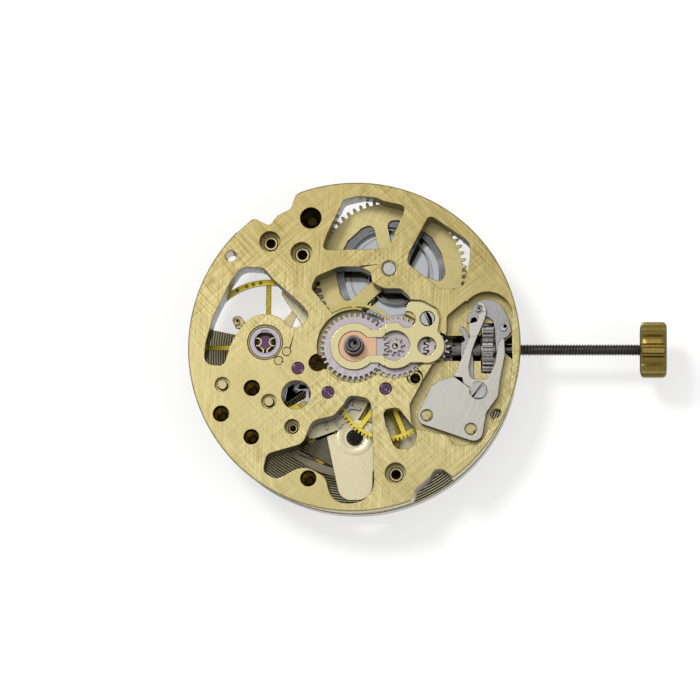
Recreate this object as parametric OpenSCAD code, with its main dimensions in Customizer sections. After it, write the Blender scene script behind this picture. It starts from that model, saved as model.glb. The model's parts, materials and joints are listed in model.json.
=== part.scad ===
// Automatic skeleton watch movement, seen dial side up. Millimetres.
// The origin is on the movement axis, level with the underside of the casing flange.
// +Z points to the dial, +X along the winding stem and +Y to twelve o'clock.

/* [Main plate] */
// Diameter of the casing flange on the dial side
plate_d = 26; // [25.8:0.1:27]
// Diameter of the plate body that enters the movement ring
body_d = 25.6; // [25.2:0.1:25.7]
// Thickness of the casing flange, up to the dial face
dial_h = 0.45; // [0.42:0.01:0.5]
// Depth of the plate below the casing flange
plate_depth = 2.1; // [2.08:0.01:2.14]
// Width of the bevel on the rim of the dial face
rim_bevel = 0.1; // [0.04:0.01:0.15]
// Radius of the two dial foot holes
foot_hole_r = 0.44; // [0.35:0.01:0.5]

/* [Motion work] */
// Leaves of the cannon pinion
cannon_leaves = 11; // [10:1:12]
// Teeth of the minute wheel
minute_teeth = 33; // [30:3:36]
// Leaves of the pinion on the minute wheel
minute_leaves = 9; // [8:1:10]
// Teeth of the hour wheel
hour_teeth = 36; // [32:1:40]
// Outer radius of the cannon pinion pipe, where the minute hand is pressed on
cannon_r = 0.585; // [0.5:0.005:0.59]
// Height of the cannon pinion above the dial face
cannon_rise = 1.3; // [1:0.05:1.6]
// Length of the straight seat of the minute hand, above the tapered pipe
hand_seat = 0.5; // [0.4:0.05:0.5]
// Outer radius of the hour wheel pipe, where the hour hand is pressed on
hour_pipe_r = 0.74; // [0.7:0.01:0.78]
// Height of the hour wheel pipe above the dial face
hour_rise = 0.8; // [0.5:0.05:0.95]
// Teeth of the setting wheel
setting_teeth = 12; // [11:1:13]

/* [Going train] */
// Teeth of the barrel
barrel_teeth = 66; // [64:1:70]
// Outer radius of the barrel drum
drum_r = 4.8; // [4.6:0.05:4.9]
// Leaves of the centre pinion
centre_leaves = 10; // [10:1:11]
// Teeth of the centre wheel
centre_teeth = 80; // [78:1:84]
// Leaves of the third pinion
third_leaves = 10; // [9:1:11]
// Teeth of the third wheel
third_teeth = 75; // [72:1:78]
// Leaves of the fourth pinion
fourth_leaves = 10; // [9:1:11]
// Teeth of the fourth wheel
fourth_teeth = 84; // [80:1:88]
// Leaves of the escape pinion
escape_leaves = 7; // [7:1:8]
// Teeth of the escape wheel
escape_teeth = 15; // [15]
// Thickness of the train wheels
wheel_t = 0.15; // [0.1:0.01:0.16]

/* [Balance] */
// Outer radius of the balance rim
balance_r = 5.45; // [5.2:0.05:5.5]
// Width of the balance rim
balance_rim_w = 0.47; // [0.35:0.01:0.6]
// Height of the balance rim
balance_rim_h = 0.4; // [0.3:0.02:0.42]
// Number of turns of the hairspring
hair_turns = 3.75; // [3:0.25:3.75]

/* [Mainspring] */
// Number of turns of the mainspring
spring_turns = 6; // [4:1:6]
// Thickness of the mainspring strip
spring_t = 0.11; // [0.08:0.01:0.12]

/* [Winding and setting] */
// Height of the stem axis, measured down from the casing flange
stem_drop = 1.5; // [1.48:0.01:1.54]
// Major radius of the stem thread, 0.90 mm tap
thread_r = 0.45; // [0.4:0.01:0.48]
// Pitch of the stem thread
thread_pitch = 0.225; // [0.2:0.005:0.25]
// Crown diameter
crown_d = 4.37; // [3.5:0.05:5]
// Crown width along the stem
crown_w = 2.1; // [1.5:0.05:3]
// Distance from the movement axis to the crown
crown_x = 22.25; // [20:0.25:26]
// Number of crown flutes
crown_flutes = 18; // [16:1:24]
// Travel of the stem from winding to hand setting
pull = 0.6; // [0.4:0.05:0.6]
// Outer radius of the winding pinion
winding_r = 1.875; // [1.8:0.005:1.89]

/* [Automatic winding] */
// Outer radius of the rotor
rotor_r = 12.7; // [12.3:0.05:12.75]
// Inner radius of the rotor weight
weight_r = 8.9; // [8.8:0.05:10]
// Overall height from the dial face to the back of the rotor
overall_h = 5.67; // [5.65:0.01:5.8]
// Turn of the rotor at rest, from the stem axis
rotor_rest = -11.5; // [-30:0.5:30]

/* [Fits] */
// Gap around a turning pivot or arbor
run_gap = 0.02; // [0.01:0.005:0.04]
// Gap between a wheel and the recess it turns in
wheel_gap = 0.18; // [0.15:0.01:0.22]
// Gap between flat faces that pass each other
face_gap = 0.03; // [0.02:0.005:0.04]

/* [Hidden] */

brass = [0.80, 0.75, 0.55];
gilt = [0.90, 0.78, 0.30];
steel = [0.68, 0.68, 0.70];
dark_steel = [0.30, 0.30, 0.31];
ruby = [0.45, 0.12, 0.40];

plate_r = plate_d / 2;
body_r = body_d / 2;
dial_z = dial_h;
plate_z = -plate_depth;

// Where the arbors stand, seen from the dial side
centre_at = [0, 0];
barrel_at = [2.7, 6.15];
minute_at = [3.2, 0.05];
setting_at = [6.49, -0.02];
third_at = [2.51, -3.36];
fourth_at = [0, -6.9];
escape_at = [-1.98, -3.66];
pallet_at = [-4.35, -1.74];
balance_at = [-6.95, 0.3];
crown_wheel_at = [7.2, 0];
reverser_at = [-1.755, 3.442];

// Distance, direction and tooth size of two arbors in mesh
function span(a, b) = norm(b - a);
function heading(a, b) = atan2(b.y - a.y, b.x - a.x);
function tooth_size(a, b, na, nb) = 2 * span(a, b) / (na + nb);
// First tooth of the second wheel, so that it stands between two teeth of the first
function mesh_phase(a, b, na, nb, phase_a) =
    heading(a, b) + 180 + 360 / nb * (0.5 - (phase_a - heading(a, b)) * na / 360);

motion_m = tooth_size(centre_at, minute_at, cannon_leaves, minute_teeth);
hour_m = tooth_size(centre_at, minute_at, hour_teeth, minute_leaves);
setting_m = 2 * (span(minute_at, setting_at) - motion_m * minute_teeth / 2) / setting_teeth;
barrel_m = tooth_size(barrel_at, centre_at, barrel_teeth, centre_leaves);
centre_m = tooth_size(centre_at, third_at, centre_teeth, third_leaves);
third_m = tooth_size(third_at, fourth_at, third_teeth, fourth_leaves);
fourth_m = tooth_size(fourth_at, escape_at, fourth_teeth, escape_leaves);

cannon_phase = 0;
minute_phase = mesh_phase(centre_at, minute_at, cannon_leaves, minute_teeth, cannon_phase);
setting_phase = mesh_phase(minute_at, setting_at, minute_teeth, setting_teeth, minute_phase);
minute_pinion_phase = 90;
hour_phase = mesh_phase(minute_at, centre_at, minute_leaves, hour_teeth, minute_pinion_phase);
barrel_phase = 0;
centre_pinion_phase = mesh_phase(barrel_at, centre_at, barrel_teeth, centre_leaves, barrel_phase);
centre_phase = 0;
third_pinion_phase = mesh_phase(centre_at, third_at, centre_teeth, third_leaves, centre_phase);
third_phase = 0;
fourth_pinion_phase = mesh_phase(third_at, fourth_at, third_teeth, fourth_leaves, third_phase);
fourth_phase = 0;
escape_pinion_phase = mesh_phase(fourth_at, escape_at, fourth_teeth, escape_leaves, fourth_phase);

// Levels of the wheels, upper face of each
minute_top = -0.16;
hour_top = 0.12;
hour_t = 0.2;
motion_t = 0.18;
centre_top = -0.98;
third_top = -1.35;
escape_top = -1.55;
barrel_top = -1.75;
fourth_top = -2.2;
balance_top = -2.2;
motion_floor = minute_top - motion_t - face_gap;
setting_floor = -0.78;
flange_t = 0.2;
drum_h = 1;
cover_t = 0.1;
cover_z = barrel_top - flange_t - drum_h - cover_t;
bridge_top = -3.1;
bridge_z = -3.6;
ratchet_t = 0.2;
auto_top = bridge_z - 0.05;
auto_z = -4.2;
rotor_z = dial_z - overall_h;
rotor_top = -4.6;
rotor_t = 0.25;
weight_top = -3.75;
stem_z = -stem_drop;

// Corner [x, y, radius] of an outline, rounded with an arc of that radius
function unit(v) = v / norm(v);
function corner_arc(a, b, c, r, steps) =
    let (u = unit(a - b), w = unit(c - b), half = acos(max(-1, min(1, u * w))) / 2,
        m = b + unit(u + w) * r / sin(half),
        p = b + u * r / tan(half), q = b + w * r / tan(half),
        start = atan2(p.y - m.y, p.x - m.x),
        turn = (atan2(q.y - m.y, q.x - m.x) - start + 540) % 360 - 180)
    [for (i = [0:steps]) m + r * [cos(start + turn * i / steps), sin(start + turn * i / steps)]];
function outline(c, steps = 5) = let (n = len(c)) [for (i = [0:n - 1])
    let (a = c[(i + n - 1) % n], b = c[i], d = c[(i + 1) % n])
    each b[2] > 0 ? corner_arc([a.x, a.y], [b.x, b.y], [d.x, d.y], b[2], steps) : [[b.x, b.y]]];

module slab(corners, z0, z1) {
    translate([0, 0, z0]) linear_extrude(z1 - z0) polygon(outline(corners));
}
module disc(at, r, z0, z1) {
    translate([at.x, at.y, z0]) cylinder(r = r, h = z1 - z0, $fn = 96);
}
module at_each(places) { for (p = places) translate([p.x, p.y, 0]) children(); }

// Teeth: each has a root, a flank on the pitch circle and a rounded, narrowing point
function polar(r, a) = r * [cos(a), sin(a)];
function tooth_ring(n, m, phase, width, addendum, dedendum) =
    let (step = 360 / n, r = n * m / 2)
    [for (i = [0:n - 1]) let (a = phase + i * step) each [
        polar(r - dedendum * m, a - (width / 2 + 0.03) * step),
        polar(r, a - width / 2 * step),
        polar(r + 0.6 * addendum * m, a - width * 0.34 * step),
        polar(r + addendum * m, a - width * 0.12 * step),
        polar(r + addendum * m, a + width * 0.12 * step),
        polar(r + 0.6 * addendum * m, a + width * 0.34 * step),
        polar(r, a + width / 2 * step),
        polar(r - dedendum * m, a + (width / 2 + 0.03) * step)]];
module wheel_teeth(n, m, phase) { polygon(tooth_ring(n, m, phase, 0.46, 1, 1.2)); }
module leaf_teeth(n, m, phase) { polygon(tooth_ring(n, m, phase, 0.4, 0.8, 1.15)); }
// A crossed-out wheel: rim with teeth, arms and a hub with its bore
module crossed_wheel(n, m, phase, rim_r, hub_r, bore_r, arms, arm_w, arm_phase) {
    difference() {
        wheel_teeth(n, m, phase);
        circle(r = rim_r, $fn = 96);
    }
    difference() {
        union() {
            circle(r = hub_r, $fn = 48);
            for (i = [0:arms - 1]) rotate(arm_phase + i * 360 / arms)
                translate([0, -arm_w / 2]) square([rim_r + 0.05, arm_w]);
        }
        circle(r = bore_r, $fn = 48);
    }
}
// An arbor with a shoulder at each end and thin pivots
module arbor(at, z0, z1, r, pivot_r, pivot_l) {
    disc(at, r, z0 + pivot_l, z1 - pivot_l);
    disc(at, pivot_r, z0, z1);
}

// Windows cut through the main plate
balance_window = [[-11.75, -1.45, 0.7], [-10.15, -1.55, 0.5], [-9.75, -0.1, 1], [-9.3, 0.85, 1],
    [-8.55, 1.9, 0.15], [-8.1, 1.2, 0], [-5.6, 1.2, 0], [-5.15, 1.6, 0.2], [-4.4, 1.4, 0.5],
    [-3.45, 2.4, 0.45], [-4, 3.15, 0.4], [-6.45, 5.35, 0.5], [-7.15, 6.2, 0.7], [-8.9, 6.3, 1],
    [-9.8, 5, 1.5], [-11.1, 2.2, 3], [-11.6, 0.3, 3]];
balance_seat_r = 2.24;
barrel_window_a = [[-0.95, 11.6, 0.5], [0.2, 11.9, 1.5], [1.6, 11.78, 1], [2.2, 11.5, 1],
    [4, 11.1, 0.4], [2.6, 7.72, 0.45], [-2.6, 7.62, 0.35], [-2.2, 8.9, 1.5], [-1.5, 10.35, 2]];
barrel_window_b = [[5.8, 10.4, 0.35], [7.3, 9.4, 2], [9, 8.2, 0.9], [9, 6.9, 2], [8.5, 4.6, 0.6],
    [6.7, 4.5, 0.6], [4.1, 6.6, 0.5], [4.25, 7.4, 0.4]];
// This window runs along the wall of the hour wheel recess, then on into it
hour_wall_r = 3.05;
centre_window = [[-3.4, 4.6, 0.5], [-3.05, 5.5, 0.7], [-1.2, 6.3, 1.5], [0.4, 6.28, 1],
    [1.25, 5.85, 0.3], [1.35, 5.05, 0.4], [2.3, 4.55, 0.8], [3.6, 4.55, 0.45], [4.4, 3.8, 0.4],
    [4, 2.6, 0.3], [1.6, 1.7, 0], [0.6, 2, 0],
    for (a = [79:9:124]) [hour_wall_r * cos(a), hour_wall_r * sin(a), 0]];
escape_window = [[-0.35, -3.9, 0.55], [1.35, -4.1, 0.85], [1.5, -6.6, 6], [1.75, -12.3, 1.7],
    [-1.6, -12.4, 1.4], [-2.1, -10.3, 1], [-3.8, -9.35, 1.6], [-5.9, -10.5, 0.6],
    [-7, -9.9, 0.55], [-6.7, -8.5, 0.6], [-3.9, -7.7, 1], [-3.2, -5.9, 0.9], [-1.5, -5.5, 0.8],
    [-0.75, -4.6, 0.4]];
third_window = [[2.3, -5, 0.45], [3.5, -4.85, 0.45], [5, -6.8, 0.7], [4.75, -8.1, 0.7],
    [3.3, -8.1, 0.6], [2.55, -6.2, 1.5]];
// Places and radii of the round holes, as [x, y, radius, depth below the dial face]
plain_holes = [[-3.49, 10.17, 0.83, 1.5], [-6.68, 8.31, 0.8, 1.1], [-4.19, 7.41, 0.83, 1.1],
    [-7.94, -3.31, 0.62, 1.5], [-10.33, -5.34, 0.62, 1.4], [-7.93, -7.16, 0.59, 1.4],
    [-4.76, -6.35, 0.58, 1.1], [-3.44, -10.42, 0.62, 1.5], [3.33, -9.98, 0.8, 1.1],
    [-2.83, -1.3, 0.68, 1.1]];
tube_holes = [[-6.68, 8.31, 0.55], [-4.19, 7.41, 0.58], [-4.76, -6.35, 0.38], [3.33, -9.98, 0.56],
    [-3.49, 10.17, 0.5]];
foot_holes = [[-9.74, 7.15], [11.08, -5.22]];
pallet_window_at = [-4.48, -3.85];
pin_places = [[-10.26, -3.04], [-6.6, -4.37]];
pin_r = 0.375;
banking_places = [[-5.26, -0.43], [-5.87, -1.15]];
banking_r = 0.34;
motion_ring_at = [4.77, -2.43];
shock_r = 1.39;
jewel_r = 0.48;

// Setting parts and their places
lever_at = [11.64, 1.55];
lever_pin_at = [9.64, 2.98];
post_places = [[5.72, -5.41], [9.15, -6.48]];
post_r = 0.4;
yoke_at = [9, -4.2];
bridge_screw_at = [5.72, 2.18];
setting_screw_at = [9.7, -3.43];
screw_r = 0.57;
keyless_floor = -0.63;
yoke_z = keyless_floor + face_gap;
yoke_t = 0.19;
lever_z = yoke_z + yoke_t + face_gap;
lever_t = 0.18;
setting_z = lever_z + lever_t + face_gap;
setting_t = 0.26;
winding_x = 10;
winding_w = 0.85;
clutch_x = 7.62;
clutch_w = 2.2;
clutch_r = 0.86;
groove_x = 8.3;
groove_w = 0.4;
stem_r = 0.5;
square_w = 0.5;
keyless_recess = [[7.25, 1, 0.2], [7.25, 2.4, 0.5], [8.7, 3.6, 0.3], [12.3, 2.4, 0.3],
    [12.35, -1.5, 0.5], [12.1, -3.8, 1], [10.6, -6.4, 0.8], [9.9, -7.8, 0.9], [7.8, -7.8, 0.5],
    [7.4, -7, 0.3], [4.6, -6.5, 0.8], [4.4, -4.6, 0.8], [5.3, -2.9, 0.8], [6.2, -1.4, 0.8],
    [6.9, -0.5, 0.3]];
keyless_round_at = [10.4, 2.35];
keyless_round_r = 1.95;
bridge_block = [[4.05, 3.25, 0.3], [4.4, 3.55, 0.2], [5.3, 3.5, 1], [6.4, 2.9, 0.5],
    [6.7, 2.2, 0.4], [6.5, 1, 0.2], [3.6, 1, 0.2]];
fourth_bridge_outline = [[-2.22, -6.8, 0.15], [-0.3, -6.1, 0.3], [0.3, -5.6, 0.3], [1.2, -5.5, 0.5],
    [2.2, -7.6, 0.5],
    [4, -8.9, 0.6], [2.6, -10, 0.6], [1.45, -9, 0.3], [1.45, -11.85, 1.2], [-1.1, -11.85, 1.05]];
fourth_screw_at = [2.75, -8.95];

module mainplate() {
    color(brass) difference() {
        rotate_extrude($fn = 128) polygon([[0, plate_z], [body_r, plate_z], [body_r, 0],
            [plate_r, 0], [plate_r, dial_z - rim_bevel], [plate_r - rim_bevel, dial_z], [0, dial_z]]);
        for (w = [barrel_window_a, barrel_window_b, centre_window, escape_window, third_window])
            slab(w, plate_z - 1, dial_z + 1);
        difference() {
            slab(balance_window, plate_z - 1, dial_z + 1);
            disc(balance_at, balance_seat_r, plate_z - 2, dial_z + 2);
        }
        for (h = plain_holes) disc(h, h[2], dial_z - h[3], dial_z + 1);
        for (h = tube_holes) disc(h, h[2], dial_z - 1.7, dial_z);
        for (h = foot_holes) disc(h, foot_hole_r, plate_z - 1, dial_z + 1);
        for (h = pin_places) disc(h, pin_r + 0.2, dial_z - 0.5, dial_z + 1);
        disc(pallet_window_at, 1.14, plate_z - 1, dial_z + 1);
        rim_notches();
        motion_cuts();
        keyless_cuts();
        train_cuts();
        jewel_holes();
    }
    color(brass) {
        disc(minute_at, 0.2, motion_floor - 0.01, hour_top + 0.02);
        disc(setting_at, 0.2, setting_floor - 0.01, -0.14);
        disc(yoke_at, 0.35, keyless_floor - 0.01, lever_z - 0.01);
        difference() {
            disc(motion_ring_at, 0.59, -0.8, motion_floor - 0.02);
            disc(motion_ring_at, 0.38, -2, 1);
        }
    }
}
// Two clearances in the rim, one over the click and one over a casing clamp
module rim_notches() {
    slab([[-9.3, 9, 0], [-8, 10.2, 0.5], [-6.75, 9.55, 0.3], [-6.1, 10.4, 0.4],
        [-5.1, 10.9, 0.3], [-4.7, 12, 0.5], [-4, 12.5, 0], [-6, 14, 0], [-10.5, 11, 0]],
        plate_z - 1, dial_z + 1);
    slab([[4.5, -12.3, 0], [4.95, -11.2, 0.6], [6, -10.35, 0.4], [6.4, -9.7, 0.35],
        [7, -9.7, 0.4], [7.9, -10.35, 0], [9, -12, 0], [6, -14, 0]],
        plate_z - 1, dial_z + 1);
}
// Recesses for the hour wheel, the minute wheel, the setting wheel and their bridge
module motion_cuts() {
    disc(centre_at, hour_teeth * hour_m / 2 + hour_m + wheel_gap, motion_floor, dial_z + 1);
    disc(minute_at, minute_teeth * motion_m / 2 + motion_m + 0.05, motion_floor, dial_z + 1);
    disc(setting_at, setting_teeth * setting_m / 2 + setting_m + 0.06, setting_floor, dial_z + 1);
    bridge_shape(0.13, dial_z - 0.28, dial_z + 1);
    disc(bridge_screw_at, 0.25, -0.9, dial_z);
    disc(motion_ring_at, 0.62, -0.75, dial_z + 1);
    disc(centre_at, 0.45, plate_z - 1, dial_z);
}
// Recess of the setting parts, the channel of the stem and the wells of its two pinions
module keyless_cuts() {
    slab(keyless_recess, keyless_floor, dial_z + 1);
    disc(keyless_round_at, keyless_round_r, keyless_floor, dial_z + 1);
    translate([0, 0, stem_z]) rotate([0, 90, 0]) {
        translate([0, 0, 6.5]) cylinder(r = 0.2 + run_gap, h = 2, $fn = 48);
        translate([0, 0, 11]) cylinder(r = stem_r + run_gap, h = 3, $fn = 48);
    }
    stem_well(clutch_x - pull - 0.05, winding_x, clutch_r + 0.12);
    stem_well(winding_x - 0.1, winding_x + winding_w + 0.1, winding_r + 0.12);
    stem_well(winding_x + winding_w, 11.05, 0.72);
    translate([11, -0.3, stem_z]) cube([1.3, 0.6, -stem_z]);
}
module stem_well(x0, x1, half) {
    translate([x0, -half, plate_z - 1]) cube([x1 - x0, 2 * half, 3.5]);
}
// Recesses that the train turns in, open to the back
module train_cuts() {
    deep = plate_z - 1;
    disc(barrel_at, barrel_teeth * barrel_m / 2 + barrel_m + wheel_gap, deep, barrel_top + 0.1);
    disc(centre_at, centre_teeth * centre_m / 2 + centre_m + wheel_gap, deep, centre_top + 0.13);
    disc(third_at, third_teeth * third_m / 2 + third_m + wheel_gap, deep, third_top + 0.13);
    disc(third_at, 0.75, deep, centre_top + 0.16);
    disc(escape_at, escape_r + wheel_gap, deep, escape_top + 0.13);
    disc(pallet_at, 1.75, deep, escape_top + 0.15);
    disc((pallet_at + balance_at) / 2, 1.7, deep, escape_top + 0.15);
    disc(balance_at, 1.2, deep, escape_top + 0.15);
    slab([for (c = fourth_bridge_outline) [c.x * 1.02, (c.y + 8.5) * 1.04 - 8.5, c[2]]],
        deep, fourth_bridge_top);
    slab([for (c = pallet_bridge_outline) [(c.x + 4) * 1.03 - 4, (c.y + 2.5) * 1.03 - 2.5, c[2]]],
        deep, pallet_bridge_top);
}
// Holes for the jewels, the shock setting, the barrel arbor and the screws from the back
module jewel_holes() {
    for (p = [third_at, escape_at, pallet_at]) disc(p, jewel_r, plate_z - 1, dial_z + 1);
    disc(balance_at, shock_r, -0.6, dial_z + 1);
    disc(balance_at, 0.6, plate_z - 1, dial_z);
    disc(barrel_at, 0.51 + run_gap, plate_z - 1, dial_z + 1);
    disc(barrel_at, 0.63, dial_z - 0.15, dial_z + 1);
    for (p = screw_places) disc(p, 0.3, plate_z - 1, -1.1);
    for (p = small_screws) disc(p, 0.21, plate_z - 1, -1.3);
    for (p = steady_places) disc(p, 0.25, plate_z - 1, -1.3);
    disc(setting_screw_at, 0.25, -1.4, 0);
    for (p = post_places) disc(p, post_r, -1, 0);
    disc(lever_at, 0.24, -1.2, 0);
    for (p = banking_places) disc(p, banking_r, -0.4, dial_z + 1);
    for (p = pin_places) disc(p, pin_r, plate_z - 1, dial_z);
}

// Plan of the motion work bridge, grown by g so that it also makes its own recess
module bridge_shape(g, z0, z1) {
    disc(centre_at, 1.85 + g, z0, z1);
    disc(minute_at, 1.83 + g, z0, z1);
    disc([5.68, 0.05], 1.4 + g, z0, z1);
    translate([0, -1.3 - g, z0]) cube([5.68, 2.6 + 2 * g, z1 - z0]);
    slab([for (c = bridge_block) [5.4 + (c.x - 5.4) * (1 + g / 1.3), 2.3 + (c.y - 2.3) * (1 + g / 1.3),
        c[2]]], z0, z1);
}
module motion_bridge() {
    color(brass) difference() {
        intersection() {
            bridge_shape(0, dial_z - 0.28, dial_z);
            union() {
                translate([-3, -3, 0]) cube([12, 8, dial_z - 0.1]);
                translate([2.42, -3, 0]) cube([6, 8, dial_z]);
            }
        }
        disc([4.15, 2.1], 0.65, 0, 1);
        disc(centre_at, 1.2, 0, 1);
        translate([0, -0.7, 0]) cube([2.4, 1.4, 1]);
        disc(minute_at, 1.17, 0, 1);
        disc(bridge_screw_at, screw_r + 0.02, dial_z - 0.14, 1);
        disc(bridge_screw_at, 0.26, 0, 1);
        disc([5.7, 0.01], 0.72, 0, 1);
    }
}
// Slotted screw: head, shank and the slot cut at an angle, its head towards +Z
module screw(at, head_r, head_t, shank_r, shank_l, z, slot_a) {
    difference() {
        union() {
            disc(at, head_r, z - head_t, z);
            disc(at, shank_r, z - head_t - shank_l, z - head_t);
        }
        translate([at.x, at.y, z]) rotate(slot_a)
            cube([2 * head_r + 1, 0.13, 0.12], center = true);
    }
}
module dial_screws() {
    color(steel) {
        screw(bridge_screw_at, screw_r, 0.13, 0.24, 0.9, dial_z - 0.01, -66);
        screw(setting_screw_at, 0.7, 0.14, 0.24, 0.9, setting_z + setting_t + 0.14, 50);
        disc(lever_at, 0.23, -1.1, lever_z + lever_t + 0.02);
        disc(lever_at, 0.3, lever_z + lever_t + 0.02, lever_z + lever_t + 0.1);
    }
}
// Copper-coloured spring washer, keyed in the opening of the bridge, free of the tapered hour pipe
module hour_washer() {
    color([0.85, 0.6, 0.42]) translate([0, 0, hour_top + 0.02]) linear_extrude(0.12) difference() {
        union() {
            circle(r = 1.19, $fn = 64);
            translate([0, -0.69]) square([1.72, 1.38]);
        }
        circle(r = hour_pipe_r + 0.08, $fn = 48);
    }
}
module hour_wheel() {
    color(steel) difference() {
        union() {
            translate([0, 0, hour_top - hour_t]) linear_extrude(hour_t)
                wheel_teeth(hour_teeth, hour_m, hour_phase);
            disc(centre_at, hour_pipe_r, dial_z, dial_z + hour_rise);
            rotate_extrude($fn = 96) polygon([[0, hour_top - hour_t],
                [hour_pipe_r + 0.06, hour_top - hour_t], [hour_pipe_r, dial_z], [0, dial_z]]);
        }
        disc(centre_at, cannon_r + run_gap, hour_top - 1, dial_z + hour_rise + 1);
    }
}
module cannon_pinion() {
    color(dark_steel) difference() {
        union() {
            translate([0, 0, motion_floor + 0.01]) linear_extrude(minute_top - motion_floor - 0.01)
                leaf_teeth(cannon_leaves, motion_m, cannon_phase);
            disc(centre_at, cannon_r, dial_z + cannon_rise - hand_seat, dial_z + cannon_rise);
            rotate_extrude($fn = 96) polygon([[0, minute_top], [cannon_r + 0.01, minute_top],
                [cannon_r, dial_z + cannon_rise - hand_seat], [0, dial_z + cannon_rise - hand_seat]]);
        }
        disc(centre_at, 0.32, motion_floor - 1, dial_z + cannon_rise - 0.5);
        disc(centre_at, 0.39, dial_z + cannon_rise - 0.5, dial_z + cannon_rise + 1);
    }
}
module minute_wheel() {
    color(steel) difference() {
        translate([minute_at.x, minute_at.y, 0]) {
            translate([0, 0, minute_top - motion_t]) linear_extrude(motion_t)
                wheel_teeth(minute_teeth, motion_m, minute_phase);
            translate([0, 0, minute_top]) linear_extrude(hour_top - minute_top + 0.02)
                leaf_teeth(minute_leaves, hour_m, minute_pinion_phase);
        }
        disc(minute_at, 0.2 + run_gap, -1, 1);
    }
}
module setting_wheel() {
    color(steel) difference() {
        translate([setting_at.x, setting_at.y, setting_floor + face_gap])
            linear_extrude(minute_top - setting_floor - face_gap)
            wheel_teeth(setting_teeth, setting_m, setting_phase);
        disc(setting_at, 0.2 + run_gap, -2, 1);
    }
}

// Setting bridge, with its jumper arm to the left and its hold-down arm to the right
setting_bridge_outline = [[4.92, -5.95, 0.6], [5.12, -5.1, 0.5], [6, -3.1, 0.6], [6.6, -2.7, 0.5],
    [7.75, -2.35, 0.3], [8, -2, 0.3], [8.6, -0.3, 1.5], [9, 0.67, 0.5], [8.9, 1.86, 0.12],
    [9.55, 2, 0.1], [9.68, 2.3, 0.08], [9.66, 2.55, 0.08], [9.98, 2.75, 0.1], [9.98, 3.2, 0.15],
    [9.58, 3.34, 0.06], [9.7, 3.66, 0.1], [10.15, 3.4, 0.3], [10.34, 2.8, 0.3],
    [10.2, 2.25, 0.4], [9.66, 0.92, 1], [9.2, -0.3, 1], [8.95, -1.6, 0.5], [9.1, -2.55, 0.45],
    [10.45, -2.6, 0.4], [11.0, -1.3, 1.5], [11.3, 0.4, 0.1], [11.7, 0.85, 0.12],
    [11.78, -0.6, 1], [11.4, -2.6, 2], [11.25, -3.9, 0.6], [10.35, -5.2, 0.6], [9.95, -7.65, 0.7]];
module setting_bridge() {
    color(steel) difference() {
        slab(setting_bridge_outline, setting_z, setting_z + setting_t);
        for (p = post_places) disc(p, post_r + 0.08, -1, 1);
        disc(setting_screw_at, 0.26, -1, 1);
    }
}
// Yoke: a lever round its post whose finger stands in the groove of the sliding pinion
yoke_outline = [[8.4, -4.7, 0.4], [8.4, -3.7, 0.4], [8.85, -2.6, 0.5], [8.3, -0.5, 0.4],
    [8.3, 0.35, 0.2], [8.65, 0.6, 0.15], [8.2, 1.45, 0.1], [8.3, 1.75, 0.08], [8.62, 1.6, 0.12],
    [9, 0.75, 0.4], [9.3, -1, 1],
    [9.28, -3.4, 0.3], [9.6, -3.9, 0.2], [9.6, -4.7, 0.4]];
module yoke() {
    color(steel) {
        difference() {
            slab(yoke_outline, yoke_z, yoke_z + yoke_t);
            disc(yoke_at, 0.35 + run_gap, -1, 1);
        }
        translate([groove_x + 0.05, -0.2, stem_z + clutch_r - 0.14])
            cube([groove_w - 0.1, 0.4, yoke_z - stem_z - clutch_r + 0.15]);
    }
}
module yoke_spring() {
    color(steel) {
        disc([6.4, -4.2], 0.3, yoke_z, yoke_z + yoke_t);
        translate([6.4, -4.2, yoke_z]) rotate(18) translate([0, -0.06, 0]) cube([1.95, 0.12, yoke_t]);
    }
}
// Setting lever: turns on its screw, its pin rests in the jumper and its nose in the stem
lever_outline = [[11.12, -0.55, 0.1], [11.02, 0.43, 0.4], [10.98, 1.3, 0.3], [10.85, 2.1, 0.3],
    [10.36, 2.45, 0.3], [9.95, 2.4, 0.15], [9.2, 1.9, 0.3], [8.75, 1.95, 0.15], [8.99, 2.75, 0.6],
    [9.5, 3.53, 0.4], [10, 3.82, 0.6], [11.02, 3.69, 0.7], [11.53, 3.26, 0.6], [12.03, 2.24, 1],
    [12.24, 1.3, 0.4], [11.95, 0.8, 0.3], [11.58, 0.7, 0.2], [11.5, -0.5, 0.1]];
module setting_lever() {
    color(steel) {
        difference() {
            slab(lever_outline, lever_z, lever_z + lever_t);
            disc(lever_at, 0.25 + run_gap, -1, 1);
        }
        disc(lever_pin_at, 0.2, lever_z + lever_t / 2, setting_z + setting_t);
        disc([11.32, 0], 0.12, stem_z + stem_r - 0.14, lever_z + lever_t / 2);
    }
}
// Stem: pivot, square, bearing with its groove, and the tapped end for the crown
module stem() {
    color(dark_steel) translate([0, 0, stem_z]) rotate([0, 90, 0]) {
        translate([0, 0, 7.0]) cylinder(r = 0.2, h = 0.6, $fn = 48);
        translate([-square_w / 2, -square_w / 2, 7.6]) cube([square_w, square_w, 2.5]);
        translate([0, 0, 10]) cylinder(r = 0.34, h = 1, $fn = 48);
        difference() {
            translate([0, 0, 11]) cylinder(r = stem_r, h = 1.7, $fn = 48);
            translate([0, 0, 11.2]) difference() {
                cylinder(r = 1, h = 0.3, $fn = 48);
                cylinder(r = stem_r - 0.16, h = 0.3, $fn = 48);
            }
        }
        stem_thread();
    }
}
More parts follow.
